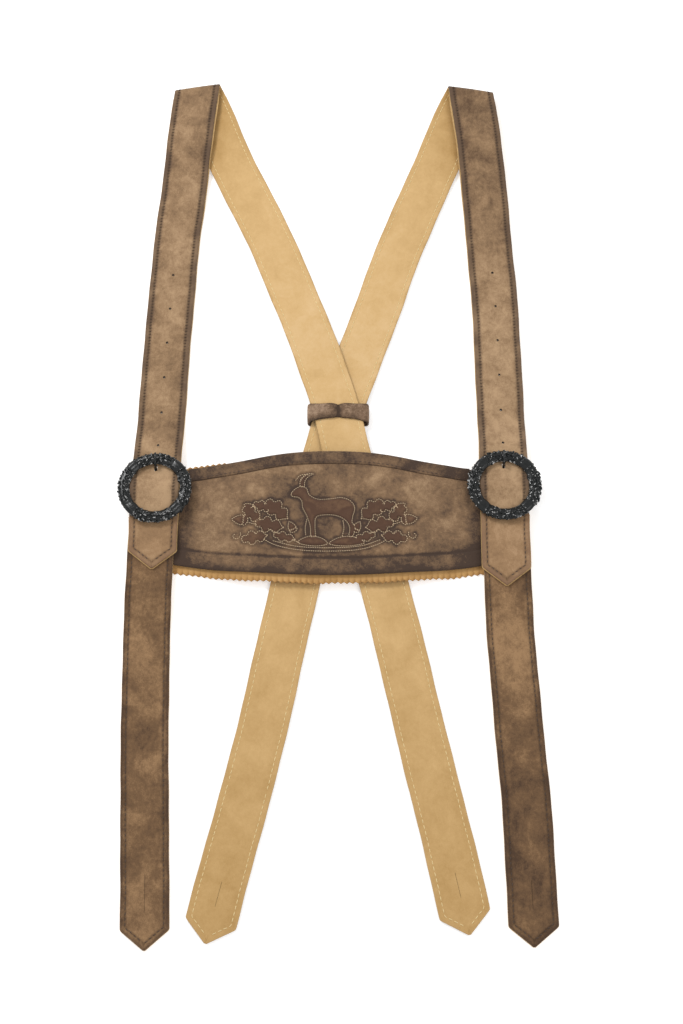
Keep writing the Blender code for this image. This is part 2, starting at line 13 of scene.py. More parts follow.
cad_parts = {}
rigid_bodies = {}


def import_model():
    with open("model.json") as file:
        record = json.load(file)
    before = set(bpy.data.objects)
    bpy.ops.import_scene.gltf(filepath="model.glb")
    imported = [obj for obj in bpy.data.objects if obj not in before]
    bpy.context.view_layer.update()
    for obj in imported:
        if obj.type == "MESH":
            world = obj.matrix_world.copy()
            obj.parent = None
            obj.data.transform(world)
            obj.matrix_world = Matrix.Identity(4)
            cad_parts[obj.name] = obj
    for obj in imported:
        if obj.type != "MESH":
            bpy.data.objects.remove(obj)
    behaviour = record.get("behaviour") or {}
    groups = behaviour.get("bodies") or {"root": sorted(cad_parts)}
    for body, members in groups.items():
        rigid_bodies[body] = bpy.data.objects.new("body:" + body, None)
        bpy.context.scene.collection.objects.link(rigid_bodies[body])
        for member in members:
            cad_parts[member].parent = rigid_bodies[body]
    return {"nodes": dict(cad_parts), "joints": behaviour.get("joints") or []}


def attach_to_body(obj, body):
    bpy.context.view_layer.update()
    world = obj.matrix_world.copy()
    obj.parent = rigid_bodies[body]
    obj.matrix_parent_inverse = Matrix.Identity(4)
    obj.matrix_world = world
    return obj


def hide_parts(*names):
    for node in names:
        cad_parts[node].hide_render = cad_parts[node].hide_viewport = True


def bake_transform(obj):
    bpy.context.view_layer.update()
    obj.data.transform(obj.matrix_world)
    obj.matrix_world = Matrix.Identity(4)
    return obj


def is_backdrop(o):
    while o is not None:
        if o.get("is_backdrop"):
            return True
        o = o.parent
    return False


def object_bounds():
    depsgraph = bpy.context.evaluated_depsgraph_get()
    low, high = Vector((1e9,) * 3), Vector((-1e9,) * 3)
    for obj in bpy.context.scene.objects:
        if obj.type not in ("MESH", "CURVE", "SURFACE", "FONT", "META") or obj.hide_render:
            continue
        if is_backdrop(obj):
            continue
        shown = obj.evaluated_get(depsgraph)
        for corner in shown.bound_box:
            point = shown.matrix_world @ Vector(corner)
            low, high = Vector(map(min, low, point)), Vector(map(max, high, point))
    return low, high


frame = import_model()
cad_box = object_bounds()
NODES = frame["nodes"]
JOINTS = {joint["name"]: joint for joint in frame["joints"]}
MM = 0.001
noise = np.random.default_rng(7)

# Strap sections and stitches, in millimetres
WIDTH = 36.5
HALF = 0.5 * WIDTH
THICK = 2.7
LEATHER_FLOOR = 1.3
LINING_TOP = 1.2
TIP = 14.0
STITCH_INSET = 3.9
STATION = 2.5
THREAD = 0.34
STITCH = 3.3
STITCH_GAP = 1.0

# How far the shoulder pieces reach beyond the solid fold, and the tab pieces above their hinges
SHOULDER_REACH = 10.0
TAB_REACH = 20.0
TAB_LENGTH = 92.0

# How far each bend reaches before and after its hinge, and the fold's above and below its own
TAB_BEND = (10.0, 12.0)
TAIL_BEND = (2.3, 9.7)
FOLD_BLEND = 1.8

# The punched holes and the prong's slot, from the bar upwards, and the slits, from the tip
HOLE_FIRST = 37.0
HOLE_PITCH = 30.2
HOLES = 6
HOLE_RADIUS = 0.85
SLOT_AT = 17.0
SLOT_LENGTH = 5.4
SLOT_RADIUS = 1.3
SLIT_WIDTH = 0.2
SLIT_TO_TIP = 26.0
SLIT_LENGTH = {"back": 18.0, "left": 27.0, "right": 20.0}


# ---------------------------------------------------------------- reading the frame

class Surface:
    """The CAD solids of some nodes, for their outlines and heights, in millimetres."""

    def __init__(self, *names):
        verts = []
        faces = []
        for name in names:
            mesh = NODES[name].data
            base = len(verts)
            verts += [tuple(v.co / MM) for v in mesh.vertices]
            faces += [[base + i for i in p.vertices] for p in mesh.polygons]
        self.verts = np.array(verts)
        self.tree = BVHTree.FromPolygons(verts, faces)
        pairs = {tuple(sorted((f[i], f[i - 1]))) for f in faces for i in range(len(f))}
        self.edges = np.array(sorted(pairs))
        self.low = self.verts.min(0)
        self.high = self.verts.max(0)

    def span(self, axis, value):
        """Lowest and highest coordinate of the solids across a line on which the other one is `value`."""
        other = 1 - axis
        a = self.verts[self.edges[:, 0]]
        b = self.verts[self.edges[:, 1]]
        crossing = (a[:, axis] - value) * (b[:, axis] - value) < 0
        a, b = a[crossing], b[crossing]
        if not len(a):
            return None
        share = (value - a[:, axis]) / (b[:, axis] - a[:, axis])
        found = a[:, other] + (b[:, other] - a[:, other]) * share
        return found.min(), found.max()

    def top(self, x, y, missing=None):
        hit = self.tree.ray_cast(Vector((x, y, 60.0)), Vector((0, 0, -1)))
        return hit[0].z if hit[0] else missing


def unit(vector):
    return vector / np.linalg.norm(vector)


def sideways(forward):
    """A plan direction turned a quarter to the left."""
    return np.array([-forward[1], forward[0]])


def path_lengths(path):
    """How far along a path each of its points is."""
    return np.concatenate([[0], np.cumsum(np.linalg.norm(np.diff(path, axis=0), axis=1))])


def at_length(s, lengths, path):
    """The point, or the column values, at length s along a path."""
    return np.array([np.interp(s, lengths, column) for column in np.asarray(path).T])


def distinct(points):
    """The different plan points among some vertices, which a mesh may repeat."""
    return np.unique(np.round(points[:, :2], 2), axis=0)


def smooth(t):
    t = np.clip(t, 0.0, 1.0)
    return t * t * (3.0 - 2.0 * t)


def blur(values, reach):
    """Averages an array along its first axis with a bell-shaped weight, keeping straight runs straight."""
    weights = np.exp(-0.5 * (np.arange(-3 * reach, 3 * reach + 1) / reach) ** 2)
    weights /= weights.sum()
    padding = [(3 * reach, 3 * reach)] + [(0, 0)] * (values.ndim - 1)
    padded = np.pad(values, padding, mode="reflect", reflect_type="odd")
    return np.apply_along_axis(lambda c: np.convolve(c, weights, mode="valid"), 0, padded)


class Line:
    """A pointed strap's plan centre line, read from its solids, by length from its upper end."""

    def __init__(self, surface, start=None, reach=8):
        top = surface.high[1] if start is None else start[1]
        ys = np.arange(top - 20.0, surface.low[1] + TIP + 5.0, -3.0)
        spans = np.array([surface.span(1, y) for y in ys])
        widths = spans[:, 1] - spans[:, 0]
        usual = np.array([np.median(widths[max(0, i - 2):i + 3]) for i in range(len(widths))])
        good = (widths > 0.97 * WIDTH) & (widths < 1.18 * WIDTH) & (np.abs(widths - usual) < 0.4)
        points = np.column_stack([spans.mean(1), ys])[good]
        tip = distinct(surface.verts[surface.verts[:, 1] < surface.low[1] + 0.6]).mean(0)
        if start is None:
            back = points[0] - points[6]
            ahead = surface.verts[:, :2] @ unit(back)
            start = distinct(surface.verts[ahead > ahead.max() - 6.0]).mean(0)
        points = np.vstack([start, points, tip])
        lengths = path_lengths(points)
        self.length = lengths[-1]
        self.s = np.linspace(0.0, self.length, int(self.length) + 1)
        self.points = blur(at_length(self.s, lengths, points).T, reach)

    def place(self, s):
        beyond = s - self.length if s > self.length else min(s, 0.0)
        return at_length(s, self.s, self.points) + self.direction(s) * beyond

    def direction(self, s):
        s = min(max(s, 3.0), self.length - 3.0)
        return unit(at_length(s + 3, self.s, self.points) - at_length(s - 3, self.s, self.points))

    def at_y(self, y):
        return float(np.interp(-y, -self.points[:, 1], self.s))


# ---------------------------------------------------------------- meshes

def make_mesh(name, verts, faces, material, uv=None, marks=None, sharp=35.0):
    """A smooth-shaded object from millimetre points, with a UV map and point attributes."""
    mesh = bpy.data.meshes.new(name)
    mesh.from_pydata((np.asarray(verts, float) * MM).tolist(), [], faces)
    if uv is not None:
        layer = mesh.uv_layers.new(name="strap")
        index = np.zeros(len(mesh.loops), int)
        mesh.loops.foreach_get("vertex_index", index)
        layer.data.foreach_set("uv", (np.asarray(uv, float)[index] * MM).ravel())
    for key, values in (marks or {}).items():
        attribute = mesh.attributes.new(key, "FLOAT", "POINT")
        attribute.data.foreach_set("value", np.asarray(values, np.float32))
    mesh.materials.append(material)
    bm = bmesh.new()
    bm.from_mesh(mesh)
    bmesh.ops.recalc_face_normals(bm, faces=bm.faces)
    bm.to_mesh(mesh)
    bm.free()
    mesh.shade_smooth()
    mesh.set_sharp_from_angle(angle=math.radians(sharp))
    made = bpy.data.objects.new(name, mesh)
    bpy.context.scene.collection.objects.link(made)
    return made


def shifted(faces, base):
    """Faces whose points are counted from `base`."""
    return [tuple(base + i for i in face) for face in faces]


def circle(count, start=0.0):
    """Angles evenly round a circle."""
    return [start + 2.0 * math.pi * i / count for i in range(count)]


def ring_faces(rings, size, closed=False):
    faces = []
    for i in range(rings if closed else rings - 1):
        here = i * size
        following = (i + 1) % rings * size
        for j in range(size):
            k = (j + 1) % size
            faces.append((here + j, here + k, following + k, following + j))
    if not closed:
        faces.append(tuple(reversed(range(size))))
        faces.append(tuple((rings - 1) * size + j for j in range(size)))
    return faces


# A stitch from end to end: share of its length, share of its radius, and lift (up in radii, down in sinks)
STITCH_PROFILE = [(0.0, 0.25, -1.0), (0.1, 0.75, -0.3), (0.3, 1.0, 0.35)]
STITCH_PROFILE += [(1.0 - share, size, lift) for share, size, lift in reversed(STITCH_PROFILE)]


def thread(path, normal, radius=THREAD, length=STITCH, gap=STITCH_GAP, sink=0.22, slant=0.0, sides=6):
    """Stitches along a 3-D path: short rounded lengths of thread whose ends dip into the surface."""
    path = np.asarray(path, float)
    normal = np.asarray(normal, float)
    lengths = path_lengths(path)
    verts = []
    faces = []
    at = 0.0
    while at + length <= lengths[-1]:
        base = len(verts)
        for share, size, lift in STITCH_PROFILE:
            s = at + share * length
            up = unit(at_length(s, lengths, normal))
            forward = at_length(s + 0.5, lengths, path) - at_length(s - 0.5, lengths, path)
            side = np.cross(forward / max(1e-9, np.linalg.norm(forward)), up)
            centre = at_length(s, lengths, path) + up * (lift * radius if lift > 0 else lift * sink)
            centre = centre + side * slant * length * (share - 0.5)
            for angle in circle(sides):
                verts.append(centre + radius * size * (side * math.cos(angle) + up * math.sin(angle)))
        faces += shifted(ring_faces(len(STITCH_PROFILE), sides), base)
        at += length + gap
    return verts, faces


def thread_object(name, runs, material, **options):
    """One object of several stitched runs, each a path with its surface normals."""
    verts = []
    faces = []
    for path, normal in runs:
        made, shape = thread(path, normal, **options)
        faces += shifted(shape, len(verts))
        verts += made
    return make_mesh(name, verts, faces, material, sharp=60.0)


# ---------------------------------------------------------------- materials

def nodes_of(name):
    made = bpy.data.materials.new(name)
    made.use_nodes = True
    tree = made.node_tree
    return made, tree, tree.nodes["Principled BSDF"]


def fill(tree, node, inputs):
    """Links each of a node's inputs to a socket, or sets it to a value."""
    for key, value in inputs.items():
        if isinstance(value, bpy.types.NodeSocket):
            tree.links.new(value, node.inputs[key])
        else:
            node.inputs[key].default_value = value
    return node


def add(tree, kind, inputs=None, **settings):
    node = tree.nodes.new(kind)
    for key, value in settings.items():
        setattr(node, key, value)
    return fill(tree, node, inputs or {})


def ramp(tree, value, stops):
    stops = list(stops)
    node = add(tree, "ShaderNodeValToRGB", {"Fac": value})
    elements = node.color_ramp.elements
    while len(elements) < len(stops):
        elements.new(0.5)
    for element, (place, colour) in zip(elements, stops):
        element.position = place
        element.color = (*colour, 1.0)
    return node.outputs["Color"]


def mix(tree, factor, a, b, blend="MIX"):
    a, b = (c if isinstance(c, bpy.types.NodeSocket) else (*c, 1.0) for c in (a, b))
    node = add(tree, "ShaderNodeMix", {0: factor, 6: a, 7: b}, data_type="RGBA", blend_type=blend)
    return node.outputs[2]


def maths(tree, operation, a, b=0.0, c=0.0, clamp=False):
    node = add(tree, "ShaderNodeMath", {0: a, 1: b, 2: c}, operation=operation, use_clamp=clamp)
    return node.outputs[0]


def swing(tree, value, amount, base):
    """A base with some of a noise's swing about its middle added."""
    return maths(tree, "MULTIPLY_ADD", maths(tree, "SUBTRACT", value, 0.5), amount, base)


def spread(tree, value, low, high, to_low=0.0, to_high=1.0):
    limits = {"Value": value, "From Min": low, "From Max": high, "To Min": to_low, "To Max": to_high}
    return add(tree, "ShaderNodeMapRange", limits, interpolation_type="SMOOTHSTEP").outputs["Result"]


def cloud(tree, where, scale, detail=4.0, rough=0.55, stretch=0.0):
    inputs = {"Vector": where, "Scale": scale, "Detail": detail, "Roughness": rough}
    return add(tree, "ShaderNodeTexNoise", {**inputs, "Distortion": stretch}).outputs["Fac"]


def attribute(tree, name):
    return add(tree, "ShaderNodeAttribute", attribute_name=name).outputs["Fac"]


def dress(tree, shader, inputs, strength, distance, height):
    """Sets the shader's inputs and roughens the surface by a height."""
    bump = add(tree, "ShaderNodeBump", {"Strength": strength, "Distance": distance, "Height": height})
    fill(tree, shader, {**inputs, "Normal": bump.outputs["Normal"]})


def suede(name, tones, edge_dark, edge_reach, contrast=1.0, nap=1.0, inner=None, seam=None):
    """Brushed leather: cloudy tone, rubbed edges, a dark seam, fine nap. `tone` above 0.5 is lighter."""
    made, tree, shader = nodes_of(name)
    place = add(tree, "ShaderNodeTexCoord").outputs["UV"]
    broad = cloud(tree, place, 42.0, 3.0, 0.6, 0.6)
    patch = cloud(tree, place, 95.0, 4.0, 0.62, 0.3)
    fleck = cloud(tree, place, 380.0, 3.0, 0.65)
    grain = cloud(tree, place, 1100.0, 2.0, 0.6)
    fibre = cloud(tree, place, 2600.0, 2.0, 0.7)
    blend = attribute(tree, "tone")
    for value, share in ((broad, 0.72), (patch, 0.38), (fleck, 0.32), (grain, 0.30)):
        blend = swing(tree, value, share * contrast, blend)
    blend = maths(tree, "ADD", blend, 0.0, clamp=True)
    colour = ramp(tree, blend, zip((0.22, 0.50, 0.74), tones))
    speck = swing(tree, fibre, 0.45 * contrast, 1.0)
    grey = add(tree, "ShaderNodeCombineColor", {0: speck, 1: speck, 2: speck}).outputs[0]
    colour = mix(tree, 1.0, colour, grey, "MULTIPLY")
    edge = attribute(tree, "edge")
    ragged = swing(tree, grain, 3.0, swing(tree, patch, 5.0, edge))
    worn = spread(tree, ragged, edge_reach * 0.2, edge_reach, 0.92, 0.0)
    worn = maths(tree, "MULTIPLY", worn, spread(tree, broad, 0.34, 0.66, 1.0, 0.66))
    colour = mix(tree, worn, colour, edge_dark)
    if seam:
        off_seam = maths(tree, "ABSOLUTE", maths(tree, "SUBTRACT", edge, STITCH_INSET))
        colour = mix(tree, spread(tree, off_seam, 0.1, 2.1, 0.40, 0.0), colour, seam)
    if inner:
        colour = mix(tree, maths(tree, "MULTIPLY", attribute(tree, "inner"), 0.55), colour, inner)
    inputs = {"Base Color": colour, "Roughness": maths(tree, "MULTIPLY_ADD", patch, 0.14, 0.80)}
    inputs |= {"Sheen Weight": 0.04, "Sheen Roughness": 0.6, "Specular IOR Level": 0.2}
    height = maths(tree, "MULTIPLY", fibre, 0.4)
    for value, share in ((grain, 0.7), (fleck, 1.3), (patch, 1.6)):
        height = maths(tree, "MULTIPLY_ADD", value, share, height)
    dress(tree, shader, inputs, 0.6 * nap, 0.0003, height)
    return made


def plain_leather(name, low, high, rough=0.6):
    """Smooth cut or burnished leather, for hole walls, slits and edges, and felt."""
    made, tree, shader = nodes_of(name)
    place = add(tree, "ShaderNodeTexCoord").outputs["Object"]
    tone = cloud(tree, place, 600.0, 3.0, 0.6)
    colour = ramp(tree, tone, [(0.35, low), (0.65, high)])
    dress(tree, shader, {"Base Color": colour, "Roughness": rough}, 0.4, 0.0002, tone)
    return made


def yarn(name, low, high):
    """Twisted thread: fine slanting plies."""
    made, tree, shader = nodes_of(name)
    place = add(tree, "ShaderNodeTexCoord").outputs["Object"]
    turned = add(tree, "ShaderNodeMapping", {"Vector": place, "Rotation": (0.0, 0.0, 0.7)}).outputs[0]
    wave = {"Vector": turned, "Scale": 900.0, "Distortion": 1.5, "Detail": 1.0}
    plies = add(tree, "ShaderNodeTexWave", wave).outputs["Fac"]
    colour = ramp(tree, plies, [(0.2, low), (0.8, high)])
    inputs = {"Base Color": colour, "Roughness": 0.62, "Sheen Weight": 0.1}
    dress(tree, shader, inputs, 0.6, 0.0001, plies)
    return made


def blackened_metal(name):
    """Cast metal with a black glossy finish, with grey metal specks on its high spots: partly rubbed wear,
    partly painted glints.
    """
    made, tree, shader = nodes_of(name)
    place = add(tree, "ShaderNodeTexCoord").outputs["Object"]
    grime = cloud(tree, place, 420.0, 4.0, 0.65)
    fine = cloud(tree, place, 1500.0, 2.0, 0.6)
    point = add(tree, "ShaderNodeNewGeometry").outputs["Pointiness"]
    glint = cloud(tree, place, 520.0, 1.0, 0.5)
    # Painted glints and rubbed wear: noise picks specks on the high spots, and these turn to grey metal.
    high = maths(tree, "MULTIPLY", spread(tree, point, 0.53, 0.60), spread(tree, glint, 0.575, 0.64))
    black = ramp(tree, grime, [(0.35, (0.004, 0.005, 0.005)), (0.7, (0.012, 0.013, 0.013))])
    inputs = {
        "Base Color": mix(tree, high, black, (0.62, 0.62, 0.61)),
        "Metallic": maths(tree, "MULTIPLY", high, 0.8),
        "Roughness": maths(tree, "MULTIPLY_ADD", grime, 0.25, 0.10),
        "Specular IOR Level": 0.35,
    }
    dress(tree, shader, inputs, 0.5, 0.0002, fine)
    return made


BROWN = suede(
    "brown_suede", [(0.105, 0.060, 0.032), (0.255, 0.158, 0.084), (0.40, 0.262, 0.148)],
    (0.105, 0.066, 0.042), 7.5, seam=(0.045, 0.027, 0.017),
)
DEEP = suede(
    "deep_brown_suede", [(0.065, 0.036, 0.020), (0.158, 0.089, 0.043), (0.30, 0.178, 0.088)],
    (0.06, 0.033, 0.019), 4.2, seam=(0.030, 0.018, 0.011),
)
TAN = suede(
    "tan_suede", [(0.16, 0.090, 0.045), (0.285, 0.172, 0.088), (0.43, 0.275, 0.155)],
    (0.20, 0.115, 0.066), 4.6, 0.8, seam=(0.075, 0.042, 0.024),
)
CREAM = suede(
    "cream_suede", [(0.36, 0.21, 0.07), (0.565, 0.370, 0.165), (0.70, 0.50, 0.28)],
    (0.45, 0.285, 0.12), 1.3, 0.35, 0.6,
)
PANEL = suede(
    "panel_suede", [(0.055, 0.034, 0.024), (0.195, 0.118, 0.064), (0.34, 0.222, 0.125)],
    (0.05, 0.031, 0.021), 2.5, inner=(0.105, 0.050, 0.028),
)
PINKED = suede(
    "pinked_suede", [(0.30, 0.155, 0.05), (0.46, 0.26, 0.095), (0.56, 0.35, 0.15)],
    (0.34, 0.18, 0.06), 0.9, 0.5, 0.7,
)
KEEPER = suede(
    "keeper_suede", [(0.05, 0.031, 0.020), (0.155, 0.096, 0.058), (0.31, 0.21, 0.14)],
    (0.05, 0.031, 0.020), 1.6, 1.5,
)
BURNT = plain_leather("burnished_edge", (0.022, 0.013, 0.009), (0.05, 0.03, 0.018))
DARK_THREAD = yarn("dark_thread", (0.036, 0.018, 0.010), (0.082, 0.043, 0.024))
PALE_THREAD = yarn("pale_thread", (0.62, 0.45, 0.20), (0.80, 0.64, 0.34))
MOTIF_THREAD = yarn("motif_thread", (0.50, 0.355, 0.205), (0.74, 0.57, 0.37))
FELT = plain_leather("felt", (0.35, 0.31, 0.25), (0.5, 0.45, 0.37), 0.95)
METAL = blackened_metal("blackened_metal")


# ---------------------------------------------------------------- straps

# Half sections of each layer, from the edge inwards: the inset and the layer height
LEATHER_SECTION = [
    (0.0, LEATHER_FLOOR), (0.0, THICK - 0.75), (0.12, THICK - 0.3), (0.5, THICK - 0.06),
    (1.2, THICK), (2.6, THICK + 0.02), (3.3, THICK - 0.12), (STITCH_INSET, THICK - 0.42),
    (4.5, THICK - 0.1), (5.6, THICK + 0.06), (9.0, THICK + 0.16), (14.0, THICK + 0.22),
]
LINING_SECTION = [
    (0.0, LINING_TOP), (0.0, 0.45), (0.15, 0.16), (0.7, 0.0), (2.8, 0.0), (STITCH_INSET, 0.22),
    (5.0, 0.0), (9.0, -0.02), (14.0, -0.02),
]


class Course:
    """Places a strap's points from a length s, a distance v across and a layer height n.

    n runs from 0 on the lining's face to THICK on the leather's.
    """

    run = 1.0

    def flare(self, s):
        """How much of its lip the lining shows at s."""
        return 1.0

    def normal(self, s, v, n, out):
        ahead = self.point(s + 1.0, v, n) - self.point(s - 1.0, v, n)
        across = self.point(s, v + 1.0, n) - self.point(s, v - 1.0, n)
        up = unit(np.cross(ahead, across))
        probe = self.point(s, v, n + out * 0.5) - self.point(s, v, n)
        return up if up @ probe > 0 else -up


class Strap(Course):
    """A strap that lies on the heights of its solids."""

    def __init__(
        self, line, surface, lining_up, seed, shift=0.0, run=1.0,
        ring_y=None, nudge=0.0, narrow=1.0, aside=0.0, calm_y=None,
    ):
        self.line, self.lining_up, self.shift, self.run = line, lining_up, shift, run
        self.nudge, self.narrow, self.aside = nudge, narrow, aside
        self.ring_s = None if ring_y is None else line.at_y(ring_y)
        self.s = np.arange(0.0, line.length + 3.0, STATION)
        self.v = np.linspace(-0.94, 0.94, 9) * HALF
        rows = []
        for s in self.s:
            centre = line.place(s)
            side = sideways(line.direction(s))
            rows.append([surface.top(*(centre + side * v)) for v in self.v])
        grid = np.array(rows, float)
        for j in range(grid.shape[1]):
            known = np.isfinite(grid[:, j])
            grid[:, j] = np.interp(self.s, self.s[known], grid[known, j])
        waves = np.random.default_rng(seed)
        phases = waves.uniform(0, 2.0 * math.pi, 3)
        ease = smooth(self.s / 30.0)
        swell = sum(0.05 * np.sin(self.s / wave + p) for wave, p in zip((17.0, 29.0, 47.0), phases))
        calm = np.ones(len(self.s))
        if calm_y is not None:
            calm = smooth(np.abs(self.s - line.at_y(calm_y)) / 16.0 - 1.2)
        self.calm = calm
        self.height = blur(grid, 1) - THICK + (ease * (0.15 + swell) * calm)[:, None]
        sway = sum(0.14 * np.sin(self.s / wave + p) for wave, p in zip((23.0, 41.0, 71.0), phases))
        self.sway = sway * ease * calm
        self.ripples = waves.uniform(0, 2.0 * math.pi, 4)

    def flare(self, s):
        if self.ring_s is None:
            return float(np.interp(s, self.s, self.calm))
        return float(np.interp(s, (0.0, 60.0, 150.0), (2.6, 1.7, 1.0)))

    def low(self, s, v):
        row = (s - self.s[0]) / STATION
        i = int(min(max(row, 0), len(self.s) - 2))
        t = min(max(row - i, 0.0), 1.0)
        return float(np.interp(v, self.v, self.height[i] * (1 - t) + self.height[i + 1] * t))

    def point(self, s, v, n):
        centre = self.line.place(s)
        side = sideways(self.line.direction(s))
        a, b = self.ripples[:2] if v > 0 else self.ripples[2:]
        uneven = 0.006 * math.sin(s / 13.0 + a) + 0.005 * math.sin(s / 5.3 + b)
        width = self.narrow + uneven * min(1.0, max(0.0, s) / 20.0) * float(np.interp(s, self.s, self.calm))
        offset = float(np.interp(s, self.s, self.sway)) + (1.0 - self.narrow) * self.aside
        if self.ring_s is not None:
            bell = math.exp(-(((s - self.ring_s) / 22.0) ** 2))
            width += 0.03 * bell
            offset += self.nudge * bell
        plan = centre + side * (v * width + offset)
        rise = THICK - n if self.lining_up else n
        return np.array([plan[0], plan[1], self.low(s, v) + rise])


class Shoulder(Course):
    """The turn over a shoulder. Lengths run from the back strap, below 0, round the fold to the front one."""

    def __init__(self, side, front, back):
        self.front = front
        self.back = back
        surface = Surface(side + "_shoulder_leather")
        self.radius = 0.5 * surface.high[2]
        rim = distinct(surface.verts[np.abs(surface.verts[:, 2] - self.radius) < 0.05])
        along = np.linalg.svd(rim - rim.mean(0))[2][0]
        self.along = along if along[0] > 0 else -along
        self.normal_out = sideways(self.along)
        outward = rim @ self.normal_out
        self.apex = rim[outward > outward.max() - 0.8].mean(0)
        self.neutral = self.radius - 0.5 * THICK
        self.half_arc = 0.5 * math.pi * self.neutral
        forward = front.line.direction(0.0)
        self.across = -forward @ self.normal_out
        self.slant = forward @ self.along
        inward = -(front.line.place(0.0) - self.apex) @ self.normal_out
        self.reach = (inward - self.radius + self.half_arc) / self.across
        self.shift = front.shift - self.reach

    def flare(self, s):
        return float(np.interp(s, (0.0, self.reach), (0.3, self.front.flare(0.0)))) if s > 0.0 else 0.3

    def point(self, s, v, n):
        if s > self.reach:
            return self.front.point(s - self.reach, v, n)
        if s < -self.reach:
            return self.back.point(-s - self.reach, v, n)
        t = s * self.across - v * self.slant
        e = s * self.slant + v * self.across
        angle = max(-0.5 * math.pi, min(0.5 * math.pi, t / self.neutral))
        radius = self.radius - THICK + n
        inward = self.radius - radius * math.cos(angle) + max(0.0, abs(t) - self.half_arc)
        plan = self.apex + self.along * e - self.normal_out * inward
        return np.array([plan[0], plan[1], self.radius + radius * math.sin(angle)])


def tip_half(s, end):
    """Half the width at s of a strap whose point is at `end`, its corners slightly rounded."""
    if end is None:
        return HALF
    straight = 0.7 + (HALF - 0.7) * max(end - s, 0.0) / TIP
    return -0.5 * math.log(math.exp(-2.0 * HALF) + math.exp(-2.0 * straight))


def tip_slope(s, end):
    """How much longer an inset is across the strap than square to its slanting end."""
    if end is None:
        return 1.0
    steep = math.hypot(1.0, (HALF - 0.7) / TIP)
    return 1.0 + (steep - 1.0) * smooth((s - end + TIP + 2.0) / 3.0)


def strap_rows(start, end, pointed, step=STATION):
    reach = TIP + 1.5 if pointed else 0.0
    count = max(2, int(round((end - reach - start) / step)))
    rows = list(np.linspace(start, end - reach, count + 1))
    if pointed:
        rows += list(end - reach + np.linspace(0.0, reach, 19))[1:]
    return rows


def strap_piece(name, course, section, rows, finish, tone, tip=None, lips=(0.0, 0.0)):
    """One layer of a stretch of strap, with its stitched groove, UVs along it, and marks for wear and tone,
    the lining's tone holding some painted shade.

    Its edges stand out beyond the strap's by the two lips.
    """
    left = [(-1.0, inset, n) for inset, n in section]
    right = [(1.0, inset, n) for inset, n in reversed(section)]
    joint = section[0][1]
    outline = left + [(0.0, HALF, section[-1][1])] + right + [(1.0, 9.0, joint), (-1.0, 9.0, joint)]
    verts = []
    uv = []
    edge = []
    tones = []
    for s in rows:
        half = tip_half(s, tip)
        slope = tip_slope(s, tip)
        for side, inset, n in outline:
            reach = half - inset * slope if inset < HALF else 0.0
            lip = lips[0 if side < 0 else 1] * course.flare(s) * max(0.0, 1.0 - inset / 6.0)
            v = side * (max(reach, 0.02 * (HALF - inset) + 0.02) + lip)
            verts.append(course.point(s, v, n))
            uv.append((course.shift + course.run * s, v))
            edge.append(min(max(inset, 0.0), 20.0) if reach > 0 else (half / slope))
            tones.append(tone(s, v))
    faces = ring_faces(len(rows), len(outline))
    return make_mesh(name, verts, faces, finish, uv, {"edge": edge, "tone": tones})


def stitch_runs(course, start, end, n, out, tip=None):
    """Two lines of stitches, one along each edge, that meet at a pointed end."""
    runs = []
    for side in (-1.0, 1.0):
        path, normal = [], []
        for s in np.arange(start, end + 0.8, 1.6):
            v = tip_half(s, tip) - STITCH_INSET * tip_slope(s, tip)
            if v < 0.2:
                break
            path.append(course.point(s, side * v, n))
            normal.append(course.normal(s, side * v, n, out))
        runs.append((path, normal))
    return runs


def attach(piece, slot, motion, nodes=()):
    """Rides on one body. Given instead two bodies with the points where a bend starts and ends, it only bakes
    its placement into its points and rides on neither.
    """
    if isinstance(motion, str):
        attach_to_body(piece, motion)
    else:
        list(motion)
        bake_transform(piece)
    if nodes:
        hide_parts(*nodes)
    return piece


def even(level):
    return lambda s, v: level


def shaded(keys, across=0.0):
    """Tone along a strap through (length, level) keys, and lighter or darker towards its middle."""
    places, levels = zip(*keys)
    return lambda s, v: float(np.interp(s, places, levels)) + across * (1.0 - abs(v) / HALF)


RUNNING = {"length": 2.7, "gap": 1.0, "slant": 0.25}
WHIPPED = {"length": 1.1, "gap": 1.6, "slant": 2.7, "radius": 0.5}


def layers(side, *parts):
    """The names of the leather and lining nodes of some parts of a strap."""
    return [f"{side}_{part}_{layer}" for part in parts for layer in ("leather", "lining")]


def stretch(
    side, part, course, start, end, motion, look, pointed=False, step=STATION, lips=(0.2, 0.2), sewn=RUNNING
):
    """The leather, the lining and their stitches along one stretch of strap."""
    prefix = f"{side}_{part}"
    hide, leather_slot, tone, lining_tone = look
    tip = end if pointed else None
    rows = strap_rows(start, end, pointed, step)
    leather = strap_piece(prefix + "_hide", course, LEATHER_SECTION, rows, hide, tone, tip)
    beyond = end + (min(lips) if pointed else 0.0)
    rows = strap_rows(start, beyond, pointed, step)
    lining_tip = beyond if pointed else None
    lining = strap_piece(
        prefix + "_liner", course, LINING_SECTION, rows, CREAM, lining_tone, lining_tip, lips
    )
    runs = stitch_runs(course, start, end, THICK - 0.34, 1.0, tip)
    dark = thread_object(prefix + "_dark_stitches", runs, DARK_THREAD, **sewn)
    runs = stitch_runs(course, start, end, 0.16, -1.0, tip)
    pale = thread_object(prefix + "_pale_stitches", runs, PALE_THREAD)
    leather_node, lining_node = layers(side, part)
    attach(leather, leather_slot, motion, [leather_node])
    attach(lining, "strap_lining", motion, [lining_node])
    attach(dark, leather_slot, motion)
    attach(pale, "strap_lining", motion)
    return leather, lining


def bend_at(joint_name, before, after):
    """A blend across a joint of a strap: between its two bodies, over these lengths each side."""
    joint = JOINTS[joint_name]
    pivot = np.array(joint["pos_m"])
    forward = unit(np.array([*sideways(joint["axis"]), 0.0]))
    start = pivot - forward * before * MM
    end = pivot + forward * after * MM
    return (joint["parent"], joint["child"], tuple(start), tuple(end))


